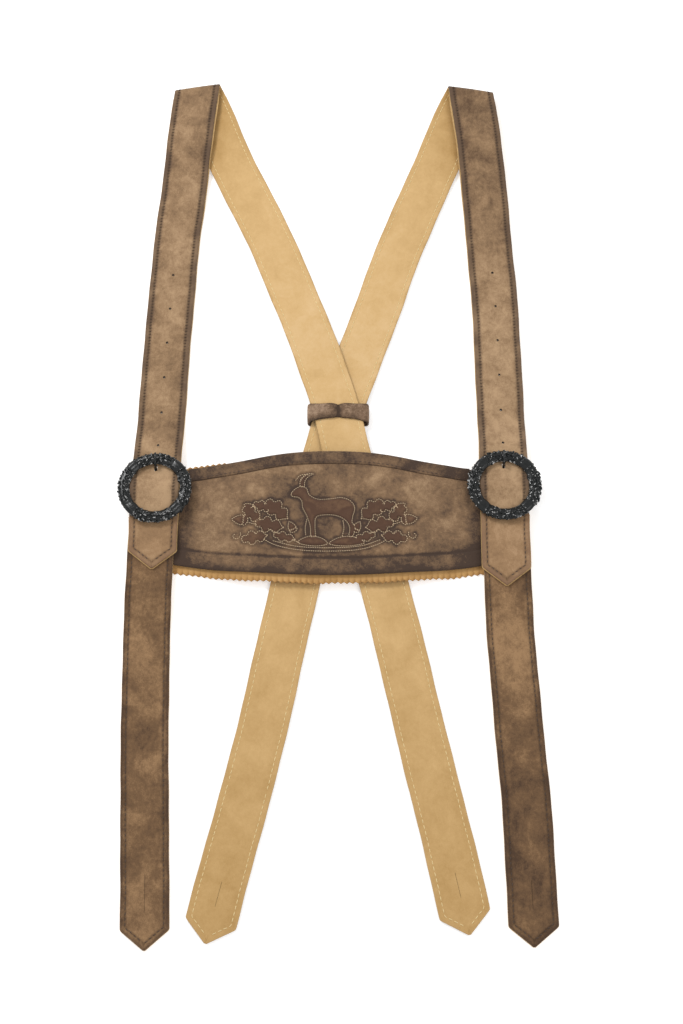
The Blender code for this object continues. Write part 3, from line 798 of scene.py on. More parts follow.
# Leather tone by share of the front strap's length, and by millimetres down the lower straps
FRONT_TONES = {
    "left": [(0.0, 0.46), (0.1, 0.43), (0.22, 0.54), (0.5, 0.55), (0.72, 0.45), (0.84, 0.66)],
    "right": [(0.0, 0.36), (0.12, 0.36), (0.3, 0.46), (0.5, 0.60), (0.75, 0.64), (0.84, 0.62)],
}
# The back lining is darkest at the shoulder: painted shade where it passes under the front strap.
CREAM_TONES = [(0.0, 0.37), (100.0, 0.47), (250.0, 0.54), (400.0, 0.46)]
HANGER_TONES = {
    "left": [(0.0, 0.42), (60.0, 0.45), (110.0, 0.57), (200.0, 0.49), (350.0, 0.55)],
    "right": [(0.0, 0.44), (80.0, 0.52), (110.0, 0.74), (160.0, 0.48), (230.0, 0.36), (350.0, 0.39)],
}


# The lower straps' share of the full width, and which way they shrink, in millimetres per unit
HANGER_NARROW = {"left": 0.95, "right": 0.97}
HANGER_ASIDE = {"left": -6.0, "right": 0.0}


def slit(line, length):
    """The outline of a tab's buttonhole."""
    middle = line.length - SLIT_TO_TIP - 0.5 * length
    return slot_outline(line.place(middle), line.direction(middle), length, 0.5 * SLIT_WIDTH)


def strap_to_tab(side, strap, tab, course, start, body, look, slit_length):
    """A strap down to its pointed button tab, made as a stretch of its own from a little above its hinge,
    with a slit.
    """
    end = course.line.length
    tab_s = end - TAB_LENGTH - TAB_REACH
    stretch(side, strap, course, start, tab_s, body, look)
    bend = bend_at(f"{side}_{tab}_flex", *TAB_BEND)
    pieces = stretch(side, tab, course, tab_s, end, bend, look, True)
    punch(pieces, [slit(course.line, slit_length)])
    for piece in pieces:
        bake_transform(piece)


def make_straps(side, index):
    fold = JOINTS["shoulder_fold"]
    bar = np.array(JOINTS[side + "_prong_hinge"]["pos_m"]) / MM
    keeper_loop = Surface("keeper_loop")
    calm_y = 0.5 * (keeper_loop.low[1] + keeper_loop.high[1])
    solids = Surface(*layers(side, "front", "tail"))
    nudge = -0.5 if side == "left" else 0.0
    shift = 3000.0 * index
    front = Strap(Line(solids), solids, False, 11 + index, 1000.0 + shift, ring_y=bar[1], nudge=nudge)
    solids = Surface(*layers(side, "back", "back_tab"))
    back = Strap(Line(solids), solids, True, 21 + index, 0.0, -1.0, calm_y=calm_y)
    turn = Shoulder(side, front, back)
    back.shift = turn.shift - turn.reach

    long = front.line.length
    front_tone = shaded([(share * long, level) for share, level in FRONT_TONES[side]], 0.03)
    cream_front = even(0.5)
    cream_keys = [*CREAM_TONES, (back.line.length, 0.33)]

    def cream_back(s, v):
        """The lining carries painted shade beside the front strap, standing in for that strap's shadow."""
        place = back.point(s, v, 0.0)
        clear = abs(place[0] - front.line.place(front.line.at_y(place[1]))[0]) - HALF
        # Painted shadow of the front strap: darkest at its edge, fading out between 60 and 100 mm down the
        # back strap.
        front_strap_shadow = 0.15 * math.exp(-max(clear, 0.0) / 9.0) * (1.0 - float(smooth((s - 60.0) / 40.0)))
        return float(np.interp(s, *zip(*cream_keys))) - front_strap_shadow

    def shoulder_tone(s, v):
        return front_tone(max(s - turn.reach, 0.0), v)

    def shoulder_cream(s, v):
        return cream_back(max(-s - turn.reach, 0.0), v) if s < 0 else 0.5

    def look(finish, tone, lining_tone, slot="strap_leather"):
        return finish, slot, tone, lining_tone

    height = turn.radius * MM
    low = (0.0, fold["pos_m"][1], height - FOLD_BLEND * MM)
    high = (0.0, fold["pos_m"][1], height + FOLD_BLEND * MM)
    motion = (fold["parent"], fold["child"], low, high)
    end = turn.reach + SHOULDER_REACH
    sewn = {"lips": (0.1, 0.5) if side == "left" else (0.5, 0.1), "sewn": WHIPPED}
    shades = look(BROWN, shoulder_tone, shoulder_cream)
    stretch(side, "shoulder", turn, -end, end, motion, shades, step=1.0, **sewn)

    tail_s = front.line.at_y(bar[1] - 22.0)
    shades = look(BROWN, front_tone, cream_front)
    upper = stretch(side, "front", front, SHOULDER_REACH, tail_s, "front_straps", shades, **sewn)
    holes = [front.line.at_y(bar[1] + HOLE_FIRST + HOLE_PITCH * i) for i in range(HOLES)]
    round_hole = 2.0 * HOLE_RADIUS, HOLE_RADIUS
    outlines = [slot_outline(front.line.place(s), front.line.direction(s), *round_hole) for s in holes]
    slot = np.array([bar[0], bar[1] + SLOT_AT])
    outlines.append(slot_outline(slot, np.array([0.0, -1.0]), SLOT_LENGTH, SLOT_RADIUS))
    punch(upper, outlines)
    rim = rims(side + "_hole_rims", front, [(s, 0.0) for s in holes], THICK + 0.2, 1.0)
    attach(rim, "strap_leather", "front_straps")
    shades = look(TAN, even(0.5), cream_front, "tail_leather")
    bend = bend_at(side + "_tail_flex", *TAIL_BEND)
    stretch(side, "tail", front, tail_s, long, bend, shades, True, lips=(0.45, 0.45))

    shades = look(BROWN, even(0.46), cream_back)
    strap_to_tab(side, "back", "back_tab", back, SHOULDER_REACH, "back_straps", shades, SLIT_LENGTH["back"])
    solids = Surface(*layers(side, "hanger", "front_tab"))
    line = Line(solids, np.array([bar[0], bar[1] - 10.0]))
    narrow, aside = HANGER_NARROW[side], HANGER_ASIDE[side]
    hanger = Strap(line, solids, False, 31 + index, 2000.0 + shift, narrow=narrow, aside=aside)
    shades = look(DEEP, shaded(HANGER_TONES[side], 0.03), cream_front)
    strap_to_tab(side, "hanger", "front_tab", hanger, 0.0, "front_straps", shades, SLIT_LENGTH[side])
    return hanger


# ---------------------------------------------------------------- punched holes and slits

def slot_outline(centre, forward, length, radius, sides=8):
    """A round-ended slot in plan, or a circle where the length is twice the radius."""
    side = sideways(forward)
    reach = 0.5 * length - radius
    points = []
    for sign in (1.0, -1.0):
        for i in range(sides + 1):
            angle = math.pi * i / sides
            offset = forward * (reach + radius * math.sin(angle)) + side * radius * math.cos(angle)
            points.append(np.array(centre) + sign * offset)
    if reach < 1e-6:
        points = [p for i, p in enumerate(points) if i not in (sides, 2 * sides + 1)]
    return points


def punch(pieces, outlines, low=-4.0, high=30.0):
    """Cuts upright prisms with these outlines through pieces, and burnishes the cut walls."""
    verts = []
    faces = []
    for outline in outlines:
        base = len(verts)
        for z in (low, high):
            verts += [(p[0], p[1], z) for p in outline]
        faces += shifted(ring_faces(2, len(outline)), base)
    tool = make_mesh("punch", verts, faces, BURNT)
    for piece in pieces:
        before = KDTree(len(piece.data.vertices))
        for vertex in piece.data.vertices:
            before.insert(vertex.co, vertex.index)
        before.balance()
        marks = {key: [entry.value for entry in piece.data.attributes[key].data] for key in ("edge", "tone")}
        modifier = piece.modifiers.new("punch", "BOOLEAN")
        modifier.operation = "DIFFERENCE"
        modifier.solver = "EXACT"
        modifier.material_mode = "TRANSFER"
        modifier.object = tool
        depsgraph = bpy.context.evaluated_depsgraph_get()
        cut = bpy.data.meshes.new_from_object(piece.evaluated_get(depsgraph))
        piece.modifiers.clear()
        piece.data = cut
        cut.set_sharp_from_angle(angle=math.radians(35.0))
        nearest = [before.find_n(vertex.co, 4) for vertex in cut.vertices]
        for key, values in marks.items():
            layer = cut.attributes[key].data
            for entry, found in zip(layer, nearest):
                weights = [1.0 / (distance + 1e-7) for _, _, distance in found]
                total = sum(w * values[index] for w, (_, index, _) in zip(weights, found))
                entry.value = total / sum(weights)
    bpy.data.objects.remove(tool)


RIM_TURNS = 20
RIM_SIDES = 6


def rims(name, course, places, n, out, radius=HOLE_RADIUS + 0.1, wire=0.15):
    """Pressed rims round punched holes: thin rings that sink into the leather."""
    verts = []
    faces = []
    for s, v in places:
        centre = course.point(s, v, n)
        up = course.normal(s, v, n, out)
        ahead = unit(course.point(s + 1.0, v, n) - centre)
        side = np.cross(up, ahead)
        base = len(verts)
        for angle in circle(RIM_TURNS):
            outward = ahead * math.cos(angle) + side * math.sin(angle)
            for roll in circle(RIM_SIDES):
                reach = radius + wire * math.cos(roll)
                verts.append(centre + outward * reach + up * (0.6 * wire * math.sin(roll)))
        faces += shifted(ring_faces(RIM_TURNS, RIM_SIDES, closed=True), base)
    return make_mesh(name, verts, faces, BURNT)


# ---------------------------------------------------------------- chest band

class Band:
    """The chest band's outline and heights, read from its solids."""

    def __init__(self):
        panel = Surface("chest_panel")
        self.left, self.right = panel.low[0], panel.high[0]
        self.x = np.linspace(self.left + 0.05, self.right - 0.05, 160)
        spans = np.array([panel.span(0, x) for x in self.x])
        self.bottoms, self.tops = blur(spans, 2).T
        middles = [panel.top(x, span.mean()) for x, span in zip(self.x, spans)]
        self.heights = blur(np.array(middles)[:, None], 3)[:, 0]
        welt = Surface("chest_welt")
        self.welt_left, self.welt_right = welt.low[0], welt.high[0]
        backing = Surface("chest_backing")
        self.backing_low, self.backing_high = backing.low, backing.high
        phases = noise.uniform(0.0, 2.0 * math.pi, 12)
        self.waves = [(0.045 * (1 + i % 4), 0.05 * (1 + i % 3) + 0.02, phases[i]) for i in range(12)]

    def top(self, x):
        out = np.abs(x - 1.0)
        dip = 1.3 + 2.2 * np.exp(-(((out - 66.0) / 26.0) ** 2))
        return np.interp(x, self.x, self.tops) - dip * smooth((118.0 - out) / 20.0)

    def bottom(self, x):
        return np.interp(x, self.x, self.bottoms)

    def level(self, x):
        return np.interp(x, self.x, self.heights)

    def ripple(self, x, y):
        return sum(0.035 * np.sin(a * x + p) * np.cos(b * y + 2.0 * p) for a, b, p in self.waves)


BAND = Band()
WELT_WIDTH = 10.0
HEM = 13.0
PADDING_INSET = 4.0
MOTIF_CENTRE = (-5.0, -31.0)


def sheet_mesh(name, x_of, top_of, under_of, finish, marks_of=None, uv_shift=0.0):
    """A closed sheet from grids of plan points with an upper and a lower height."""
    xs, ys = x_of
    rows, columns = xs.shape
    upper = np.dstack([xs, ys, top_of]).reshape(-1, 3)
    lower = np.dstack([xs, ys, under_of]).reshape(-1, 3)
    verts = np.vstack([upper, lower])
    count = rows * columns
    faces = []
    for i in range(rows - 1):
        for j in range(columns - 1):
            a = i * columns + j
            faces.append((a, a + 1, a + columns + 1, a + columns))
            faces.append((count + a, count + a + columns, count + a + columns + 1, count + a + 1))
    rim = list(range(columns))
    rim += [i * columns + columns - 1 for i in range(1, rows)]
    rim += [(rows - 1) * columns + j for j in range(columns - 2, -1, -1)]
    rim += [i * columns for i in range(rows - 2, 0, -1)]
    for a, b in zip(rim, rim[1:] + rim[:1]):
        faces.append((a, b, count + b, count + a))
    uv = np.column_stack([verts[:, 0] + uv_shift, verts[:, 1]])
    marks = {key: np.concatenate([value.ravel(), value.ravel()]) for key, value in (marks_of or {}).items()}
    return make_mesh(name, verts, faces, finish, uv, marks)


def shares(low, high, step):
    """Positions from low to high, `step` apart, with closer ones near both ends."""
    count = int(round((high - low) / step))
    inner = [x for x in np.linspace(low, high, count + 1)[1:-1] if low + 1.3 < x < high - 1.3]
    ends = [low, low + 0.12, low + 0.4, low + 0.9]
    return np.array(sorted(set(ends + [low + high - e for e in ends] + inner)))


def edge_roll(distance, depth=0.7, reach=1.2):
    """How far a surface drops as it rolls over its edge."""
    t = np.clip(1.0 - distance / reach, 0.0, 1.0)
    return depth * (1.0 - np.sqrt(np.maximum(0.0, 1.0 - t * t)))


def panel_grid(left, right, top, bottom, step_x, step_y):
    """A grid between two plan curves, and how far its points are from the top, the bottom and any edge."""
    xs = shares(left, right, step_x)
    depth = float(np.max(top(xs) - bottom(xs)))
    down = shares(0.0, depth, step_y) / depth
    x = np.tile(xs, (len(down), 1))
    y = top(x) - (top(x) - bottom(x)) * down[:, None]
    from_top = top(x) - y
    from_bottom = y - bottom(x)
    nearest = np.minimum(np.minimum(from_top, from_bottom), np.minimum(x - left, right - x))
    return x, y, from_top, from_bottom, nearest


def relief(x, y):
    """Height of the panel's face: seam under the welt, padded middle, creased lower edge."""
    from_top = BAND.top(x) - y
    from_bottom = y - BAND.bottom(x)
    z = BAND.level(x) + BAND.ripple(x, y)
    z = z + 0.9 * smooth((from_top - 10.0) / 10.0) * smooth((from_bottom - HEM) / 9.0)
    z = z + 0.45 * smooth((HEM - 0.3 - from_bottom) / 1.2) - 0.3 * np.exp(-(((from_bottom - HEM) / 0.7) ** 2))
    return z


def band_tone(x, y):
    """Darker lower edge, ends and welt, painted shade along the hem's crease, and a smoky patch over the
    middle.
    """
    from_top = BAND.top(x) - y
    from_bottom = y - BAND.bottom(x)
    dark = 0.20 * np.exp(-((from_bottom / 5.0) ** 2)) + 0.09 * smooth((HEM - from_bottom) / 3.0)
    # Painted shade along the hem's crease and in a soft band around it.
    dark = dark + 0.26 * np.exp(-(((from_bottom - HEM - 0.3) / 1.3) ** 2))
    dark = dark + 0.08 * np.exp(-(((from_bottom - HEM) / 6.0) ** 2))
    dark = dark + 0.19 * smooth((np.abs(x - 1.0) - 97.0) / 16.0) + 0.03 * smooth((x - 20.0) / 40.0)
    dark = dark + 0.09 * np.exp(-(((x + 12.0) / 22.0) ** 2) - (((y + 10.0) / 15.0) ** 2))
    dark = dark + 0.05 * np.exp(-(((x - 15.0) / 48.0) ** 2) - (((y + 44.0) / 17.0) ** 2))
    around = ((x - MOTIF_CENTRE[0]) / 66.0) ** 4 + ((y - MOTIF_CENTRE[1] + 6.0) / 24.0) ** 4
    dark = dark + 0.09 * np.exp(-around)
    light = 0.06 * np.exp(-(((np.abs(x - 1.0) - 76.0) / 20.0) ** 2) - (((from_top - 38.0) / 20.0) ** 2))
    return 0.5 + light - dark


def chest_band():
    body = "front_straps"
    upright = (0.0, 0.0, 1.0)
    x, y, _, _, nearest = panel_grid(BAND.left, BAND.right, BAND.top, BAND.bottom, 1.0, 1.0)
    inner, raised, rim = motif_fields(x, y)
    face = relief(x, y) + raised - edge_roll(nearest, 0.9, 1.4)
    # The tone darkens at the rims of the motif's grooves: painted shade that brings out the relief.
    marks = {"edge": nearest, "tone": band_tone(x, y) - 0.05 * inner - 0.20 * rim, "inner": inner}
    panel = sheet_mesh("chest_panel_hide", (x, y), face, BAND.level(x) - 1.2, PANEL, marks)
    attach(panel, "chest_leather", body, ["chest_panel"])

    def welt_top(x):
        return BAND.top(x) + 0.3

    def welt_bottom(x):
        return BAND.top(x) - WELT_WIDTH

    low, high = BAND.welt_left, BAND.welt_right
    x, y, from_top, from_bottom, nearest = panel_grid(low, high, welt_top, welt_bottom, 2.0, 1.0)
    roll = 0.5 * np.sqrt(np.maximum(0.0, 1.0 - ((from_top - 5.0) / 5.4) ** 2))
    face = BAND.level(x) + BAND.ripple(x, y) + 0.85 + roll - edge_roll(nearest, 0.8, 1.3)
    marks = {"edge": np.minimum(nearest, from_bottom * 1.2) * 1.5 + 1.2, "tone": band_tone(x, y) - 0.19}
    welt = sheet_mesh("chest_welt_hide", (x, y), face, BAND.level(x) - 0.1, PANEL, marks, 400.0)
    attach(welt, "chest_leather", body, ["chest_welt"])

    x = np.arange(low + 3.0, high - 3.0, 1.6)
    z = BAND.level(x) + BAND.ripple(x, BAND.top(x) - 8.0) + 1.22
    seam = [(np.column_stack([x, welt_bottom(x) + 1.9, z]), [upright] * len(x))]
    made = thread_object("chest_welt_stitches", seam, DARK_THREAD, length=2.6, gap=0.9, radius=0.26)
    attach(made, "chest_leather", body)

    def inset_top(x):
        return BAND.top(x) - PADDING_INSET

    def inset_bottom(x):
        return BAND.bottom(x) + PADDING_INSET

    low, high = BAND.left + PADDING_INSET, BAND.right - PADDING_INSET
    x, y, _, _, nearest = panel_grid(low, high, inset_top, inset_bottom, 6.0, 6.0)
    level = BAND.level(x)
    face = level - 1.4 - edge_roll(nearest, 0.4)
    padding = sheet_mesh("chest_padding_felt", (x, y), face, level - 2.8, FELT)
    attach(padding, "chest_padding", body, ["chest_padding"])
    pinked_backing(body)


PINK_PITCH = 4.5
PINK_DEPTH = 1.4


def pinked_backing(body):
    """The backing's toothed edges stand out below the panel and a little above it."""
    low, high = BAND.backing_low, BAND.backing_high
    middle = 0.5 * (BAND.left + BAND.right)
    drop = BAND.bottom(middle) - low[1]
    rise = high[1] - BAND.top(middle)
    teeth = int(round((BAND.right - BAND.left) / PINK_PITCH))
    xs = np.linspace(BAND.left, BAND.right, teeth * 6 + 1)
    phase = np.abs((np.arange(len(xs)) % 6) / 3.0 - 1.0)
    cut = PINK_DEPTH * (1.0 - smooth(1.0 - phase) * 0.25 - 0.75 * (1.0 - phase))
    waver = 0.25 * np.sin(xs / 9.0) + 0.2 * np.sin(xs / 4.1 + 1.0)
    tops = BAND.top(xs) - 1.0 + (rise + 1.0) * smooth((-72.0 - xs) / 12.0) - cut + waver * 0.5
    bottoms = BAND.bottom(xs) - drop + cut + waver
    down = np.array([0.0, 0.02, 0.05, 0.5, 0.93, 0.95, 0.965, 0.98, 0.99, 1.0])
    xg = np.tile(xs, (len(down), 1))
    yg = tops - (tops - bottoms) * down[:, None]
    nearest = np.minimum(tops - yg, yg - bottoms)
    floor = BAND.level(xg) - 4.0
    face = floor + 1.05 - edge_roll(nearest, 0.35, 0.8) + 0.12 * np.sin(xg / 6.0)
    # Painted shade: each tooth darkens towards one side near its cut edge, standing in for the shade between
    # the teeth.
    tooth_shade = np.tile((np.arange(len(xs)) % 6) / 5.0, (len(down), 1)) ** 2
    marks = {"edge": nearest + 0.2, "tone": 0.50 - 0.6 * tooth_shade * np.exp(-nearest / 2.2)}
    backing = sheet_mesh("chest_backing_pinked", (xg, yg), face, floor, PINKED, marks, 900.0)
    attach(backing, "chest_backing", body, ["chest_backing"])


# ---------------------------------------------------------------- embroidered motif

def curve(points, closed=False, step=0.8):
    """A smooth plan curve through points, evenly stepped."""
    knots = [np.array(p, float) for p in points]
    if closed:
        ring = knots[-1:] + knots + knots[:2]
    else:
        ring = [2 * knots[0] - knots[1]] + knots + [2 * knots[-1] - knots[-2]]
    path = []
    for a, b, c, d in zip(ring, ring[1:], ring[2:], ring[3:]):
        square = 2 * a - 5 * b + 4 * c - d
        cube = 3 * b - a - 3 * c + d
        for t in np.linspace(0.0, 1.0, 12, endpoint=False):
            path.append(0.5 * (2 * b + (c - a) * t + square * t * t + cube * t**3))
    path.append(path[0] if closed else knots[-1])
    path = np.array(path)
    lengths = path_lengths(path)
    return at_length(np.linspace(0.0, lengths[-1], max(4, int(lengths[-1] / step))), lengths, path).T


def turned(points, place, angle, size=1.0, mirror=1.0):
    c, s = math.cos(math.radians(angle)), math.sin(math.radians(angle))
    return [
        (place[0] + mirror * size * (x * c - y * s), place[1] + size * (x * s + y * c)) for x, y in points
    ]


def oak_leaf(place, angle, length, width, mirror=1.0):
    """A leaf of five rounded lobes with a midrib and side veins."""
    half = [
        (0.0, 0.0), (0.10, 0.12), (0.20, 0.34), (0.32, 0.40), (0.40, 0.28), (0.45, 0.26), (0.54, 0.46),
        (0.68, 0.48), (0.74, 0.30), (0.80, 0.24), (0.94, 0.24), (1.0, 0.0),
    ]
    outline = half + [(x, -y) for x, y in reversed(half[1:-1])]
    outline = [(length * x, width * y) for x, y in outline]
    closed = [turned(outline, place, angle, 1.0, mirror)]
    rib = [(0.0, 0.0), (0.42 * length, 0.03 * width), (0.84 * length, 0.0)]
    lines = [turned(rib, place, angle, 1.0, mirror)]
    for x in (0.26, 0.54):
        for sign in (1.0, -1.0):
            vein = [(x * length, 0.0), ((x + 0.10) * length, sign * 0.26 * width)]
            lines.append(turned(vein, place, angle, 1.0, mirror))
    return closed, lines


def acorn(place, angle, size, mirror=1.0):
    nut = [(0.0, -0.42), (0.5, -0.42), (0.95, -0.16), (1.1, 0.0), (0.95, 0.16), (0.5, 0.42), (0.0, 0.42)]
    cup = [(0.0, 0.5), (0.02, 0.0), (0.0, -0.5), (-0.3, -0.4), (-0.45, 0.0), (-0.3, 0.4)]
    return [turned(shape, place, angle, size, mirror) for shape in (nut, cup)], []


def curl(place, angle, size, mirror=1.0):
    """A tendril that winds in on itself."""
    points = []
    for i in range(14):
        t = i / 13.0
        radius = size * (1.0 - 0.82 * t)
        points.append((radius * math.cos(5.2 * t) - size, radius * math.sin(5.2 * t)))
    return [], [turned(points, place, angle, 1.0, mirror)]


def goat():
    """A horned mountain animal standing on two mounds, drawn in plain outline."""
    body = [
        (-24.5, 14.6), (-21.5, 18.4), (-17.0, 20.6), (-13.0, 19.0), (-10.5, 13.5), (-4.0, 10.2), (5.0, 10.4),
        (14.0, 11.4), (21.0, 8.6), (24.0, 3.0), (22.6, -3.5), (22.0, -8.5), (24.2, -12.5), (22.6, -19.5),
        (19.6, -19.8), (20.2, -13.0), (17.0, -7.0), (10.0, -3.2), (1.0, -2.6), (-5.4, -4.6), (-6.2, -12.0),
        (-6.0, -19.6), (-9.2, -19.8), (-9.8, -12.0), (-12.2, -4.0), (-15.6, 3.0), (-16.4, 8.8), (-19.2, 11.6),
        (-23.6, 12.4),
    ]
    horn = [
        (-17.6, 20.8), (-17.4, 26.0), (-13.4, 30.4), (-7.6, 31.0), (-11.6, 28.6), (-14.2, 24.6),
        (-14.6, 20.4),
    ]
    far_horn = [(x - 4.0, y - 0.6) for x, y in horn[1:6]]
    mounds = [
        [(-19.0, -25.0), (-14.0, -20.8), (-7.0, -19.8), (0.0, -22.0), (3.0, -26.0), (-7.0, -27.6)],
        [(5.0, -26.0), (10.0, -21.6), (19.0, -19.8), (27.0, -21.6), (31.0, -25.4), (18.0, -27.6)],
    ]
    lines = [
        far_horn,
        [(-12.4, -6.0), (-13.6, -13.0), (-13.0, -20.4)],
        [(15.0, -7.0), (15.8, -13.0), (14.4, -20.4)],
        [(21.6, 3.0), (16.0, 1.0), (14.0, -3.6)],
        [(-13.0, 6.0), (-8.0, 4.0), (-7.0, -1.0)],
    ]
    return [body, horn] + mounds, lines


# The plants on the right side: x, y and angle, then a leaf's length and width or the others' size
LEAVES = (
    (21.0, -6.0, 42.0, 22.0, 14.0), (24.0, -13.0, 12.0, 22.0, 13.0), (42.0, -7.0, 40.0, 17.0, 11.0),
    (36.0, -19.0, -8.0, 20.0, 11.0), (15.0, -22.5, 14.0, 17.0, 8.0), (33.0, 2.0, 18.0, 15.0, 9.0),
)
ACORNS = ((55.0, -6.0, 8.0, 8.0), (49.0, 3.0, 35.0, 6.0), (17.0, -14.0, 64.0, 6.0))
TENDRILS = ((57.0, -16.0, 150.0, 4.2),)
STEM = ((12.0, -25.0), (22.0, -20.5), (33.0, -15.0), (43.0, -11.0), (53.0, -7.4))
SCROLL = (
    (-52.0, -17.0), (-38.0, -26.0), (-20.0, -30.4), (4.0, -31.6), (28.0, -30.2), (44.0, -25.0), (56.0, -16.0),
)


def motif():
    """All closed shapes and open lines: the goat, the plants on both sides and the scroll."""
    closed, lines = goat()
    for mirror, shift in ((1.0, 8.0), (-1.0, -6.0)):
        for draw, plants in ((oak_leaf, LEAVES), (acorn, ACORNS), (curl, TENDRILS)):
            for x, y, *rest in plants:
                shapes, extra = draw((shift + x * mirror, y), *rest, mirror)
                closed += shapes
                lines += extra
        lines.append([(shift + mirror * x, y) for x, y in STEM])
    lines.append(SCROLL)
    lines.append([(x, y + 2.6) for x, y in SCROLL[1:-1]])
    place = np.array(MOTIF_CENTRE)
    return [curve(c, True) + place for c in closed], [curve(c) + place for c in lines]


SHAPES, STROKES = motif()


def motif_fields(xg, yg):
    """For each point: how far inside a stitched shape it is, its lift, and how near a groove's rim it is."""
    points = np.column_stack([xg.ravel(), yg.ravel()])
    inside = np.zeros(len(points))
    near_line = np.full(len(points), 9.0)
    for path, closed in [(p, True) for p in SHAPES] + [(p, False) for p in STROKES]:
        low, high = path.min(0) - 3.0, path.max(0) + 3.0
        chosen = np.nonzero(((points > low) & (points < high)).all(1))[0]
        if not len(chosen):
            continue
        p = points[chosen]
        a, b = path[:-1], path[1:]
        ab = b - a
        t = np.clip(((p[:, None] - a) * ab).sum(2) / np.maximum((ab**2).sum(1), 1e-9), 0.0, 1.0)
        distance = np.sqrt((((a + ab * t[..., None]) - p[:, None]) ** 2).sum(2)).min(1)
        near_line[chosen] = np.minimum(near_line[chosen], distance)
        if closed:
            crosses = (a[:, 1] > p[:, 1:2]) != (b[:, 1] > p[:, 1:2])
            rise = np.where(np.abs(ab[:, 1]) < 1e-9, 1e-9, ab[:, 1])
            at = a[:, 0] + (p[:, 1:2] - a[:, 1]) * ab[:, 0] / rise
            hits = (crosses & (p[:, 0:1] < at)).sum(1) % 2
            inside[chosen] = np.maximum(inside[chosen], hits * smooth(distance / 1.2))
    raised = 0.85 * inside - 0.45 * np.exp(-((near_line / 0.9) ** 2))
    rim = np.exp(-(((near_line - 0.9) / 1.3) ** 2))
    return [field.reshape(xg.shape) for field in (inside, raised, rim)]


def embroidery():
    runs = []
    for path in SHAPES + STROKES:
        z = relief(path[:, 0], path[:, 1]) - 0.1
        runs.append((np.column_stack([path, z]), [(0.0, 0.0, 1.0)] * len(path)))
    made = thread_object("chest_motif_thread", runs, MOTIF_THREAD, length=1.1, gap=0.6, radius=0.29, sink=0.1)
    attach(made, "chest_leather", "front_straps")


# ---------------------------------------------------------------- buckles

# Across a leaf and up from it, in shares of its half width and its dome; below zero is its flat back
LEAF_SECTION = (
    (-1.0, 0.1), (-0.62, 0.85), (-0.22, 1.0), (0.0, 0.55), (0.22, 1.0), (0.62, 0.85), (1.0, 0.1), (0.0, -0.5),
)


def leaf_mesh(length, width, thick):
    """A pointed leaf along +X, domed, with a groove along its middle: points and faces."""
    rows = []
    for t in np.linspace(0.0, 1.0, 9):
        half = 0.5 * width * math.sin(math.pi * min(1.0, t * 0.92 + 0.06)) ** 0.8
        half = max(half, 0.06)
        x = length * t
        lift = thick * math.sin(math.pi * t) ** 0.6 + 0.05
        for across, up in LEAF_SECTION:
            rows.append((x, half * across, lift * up if up > 0 else -0.5 * thick))
    return np.array(rows), ring_faces(9, len(LEAF_SECTION))


def ball_mesh(radius):
    """A small ball. Blender gives its faces in no fixed order, so they are sorted."""
    bm = bmesh.new()
    bmesh.ops.create_uvsphere(bm, u_segments=10, v_segments=7, radius=radius)
    verts = np.array([tuple(v.co) for v in bm.verts])
    faces = sorted(tuple(v.index for v in f.verts) for f in bm.faces)
    bm.free()
    return verts, faces


# The wreath's ring, its quarters of leaves and the smooth wraps between them
WREATH_INNER = 18.4
WREATH_OUTER = 29.0
WRAP_HALF_ANGLE = 0.15
WRAP_STATIONS = 13
WRAP_SIDES = 30
# Each row of leaves: its place across the ring, their turn, their stagger and their level
LEAF_ROWS = ((1.9, 0.42, 0.0, 0.48), (-1.9, -0.42, 0.0, 0.48), (0.1, 0.0, 0.5, 0.62))
LEAVES_IN_ROW = 8
BERRIES = 11
LEAF_LENGTH = 5.4
LEAF_WIDTH = 2.7


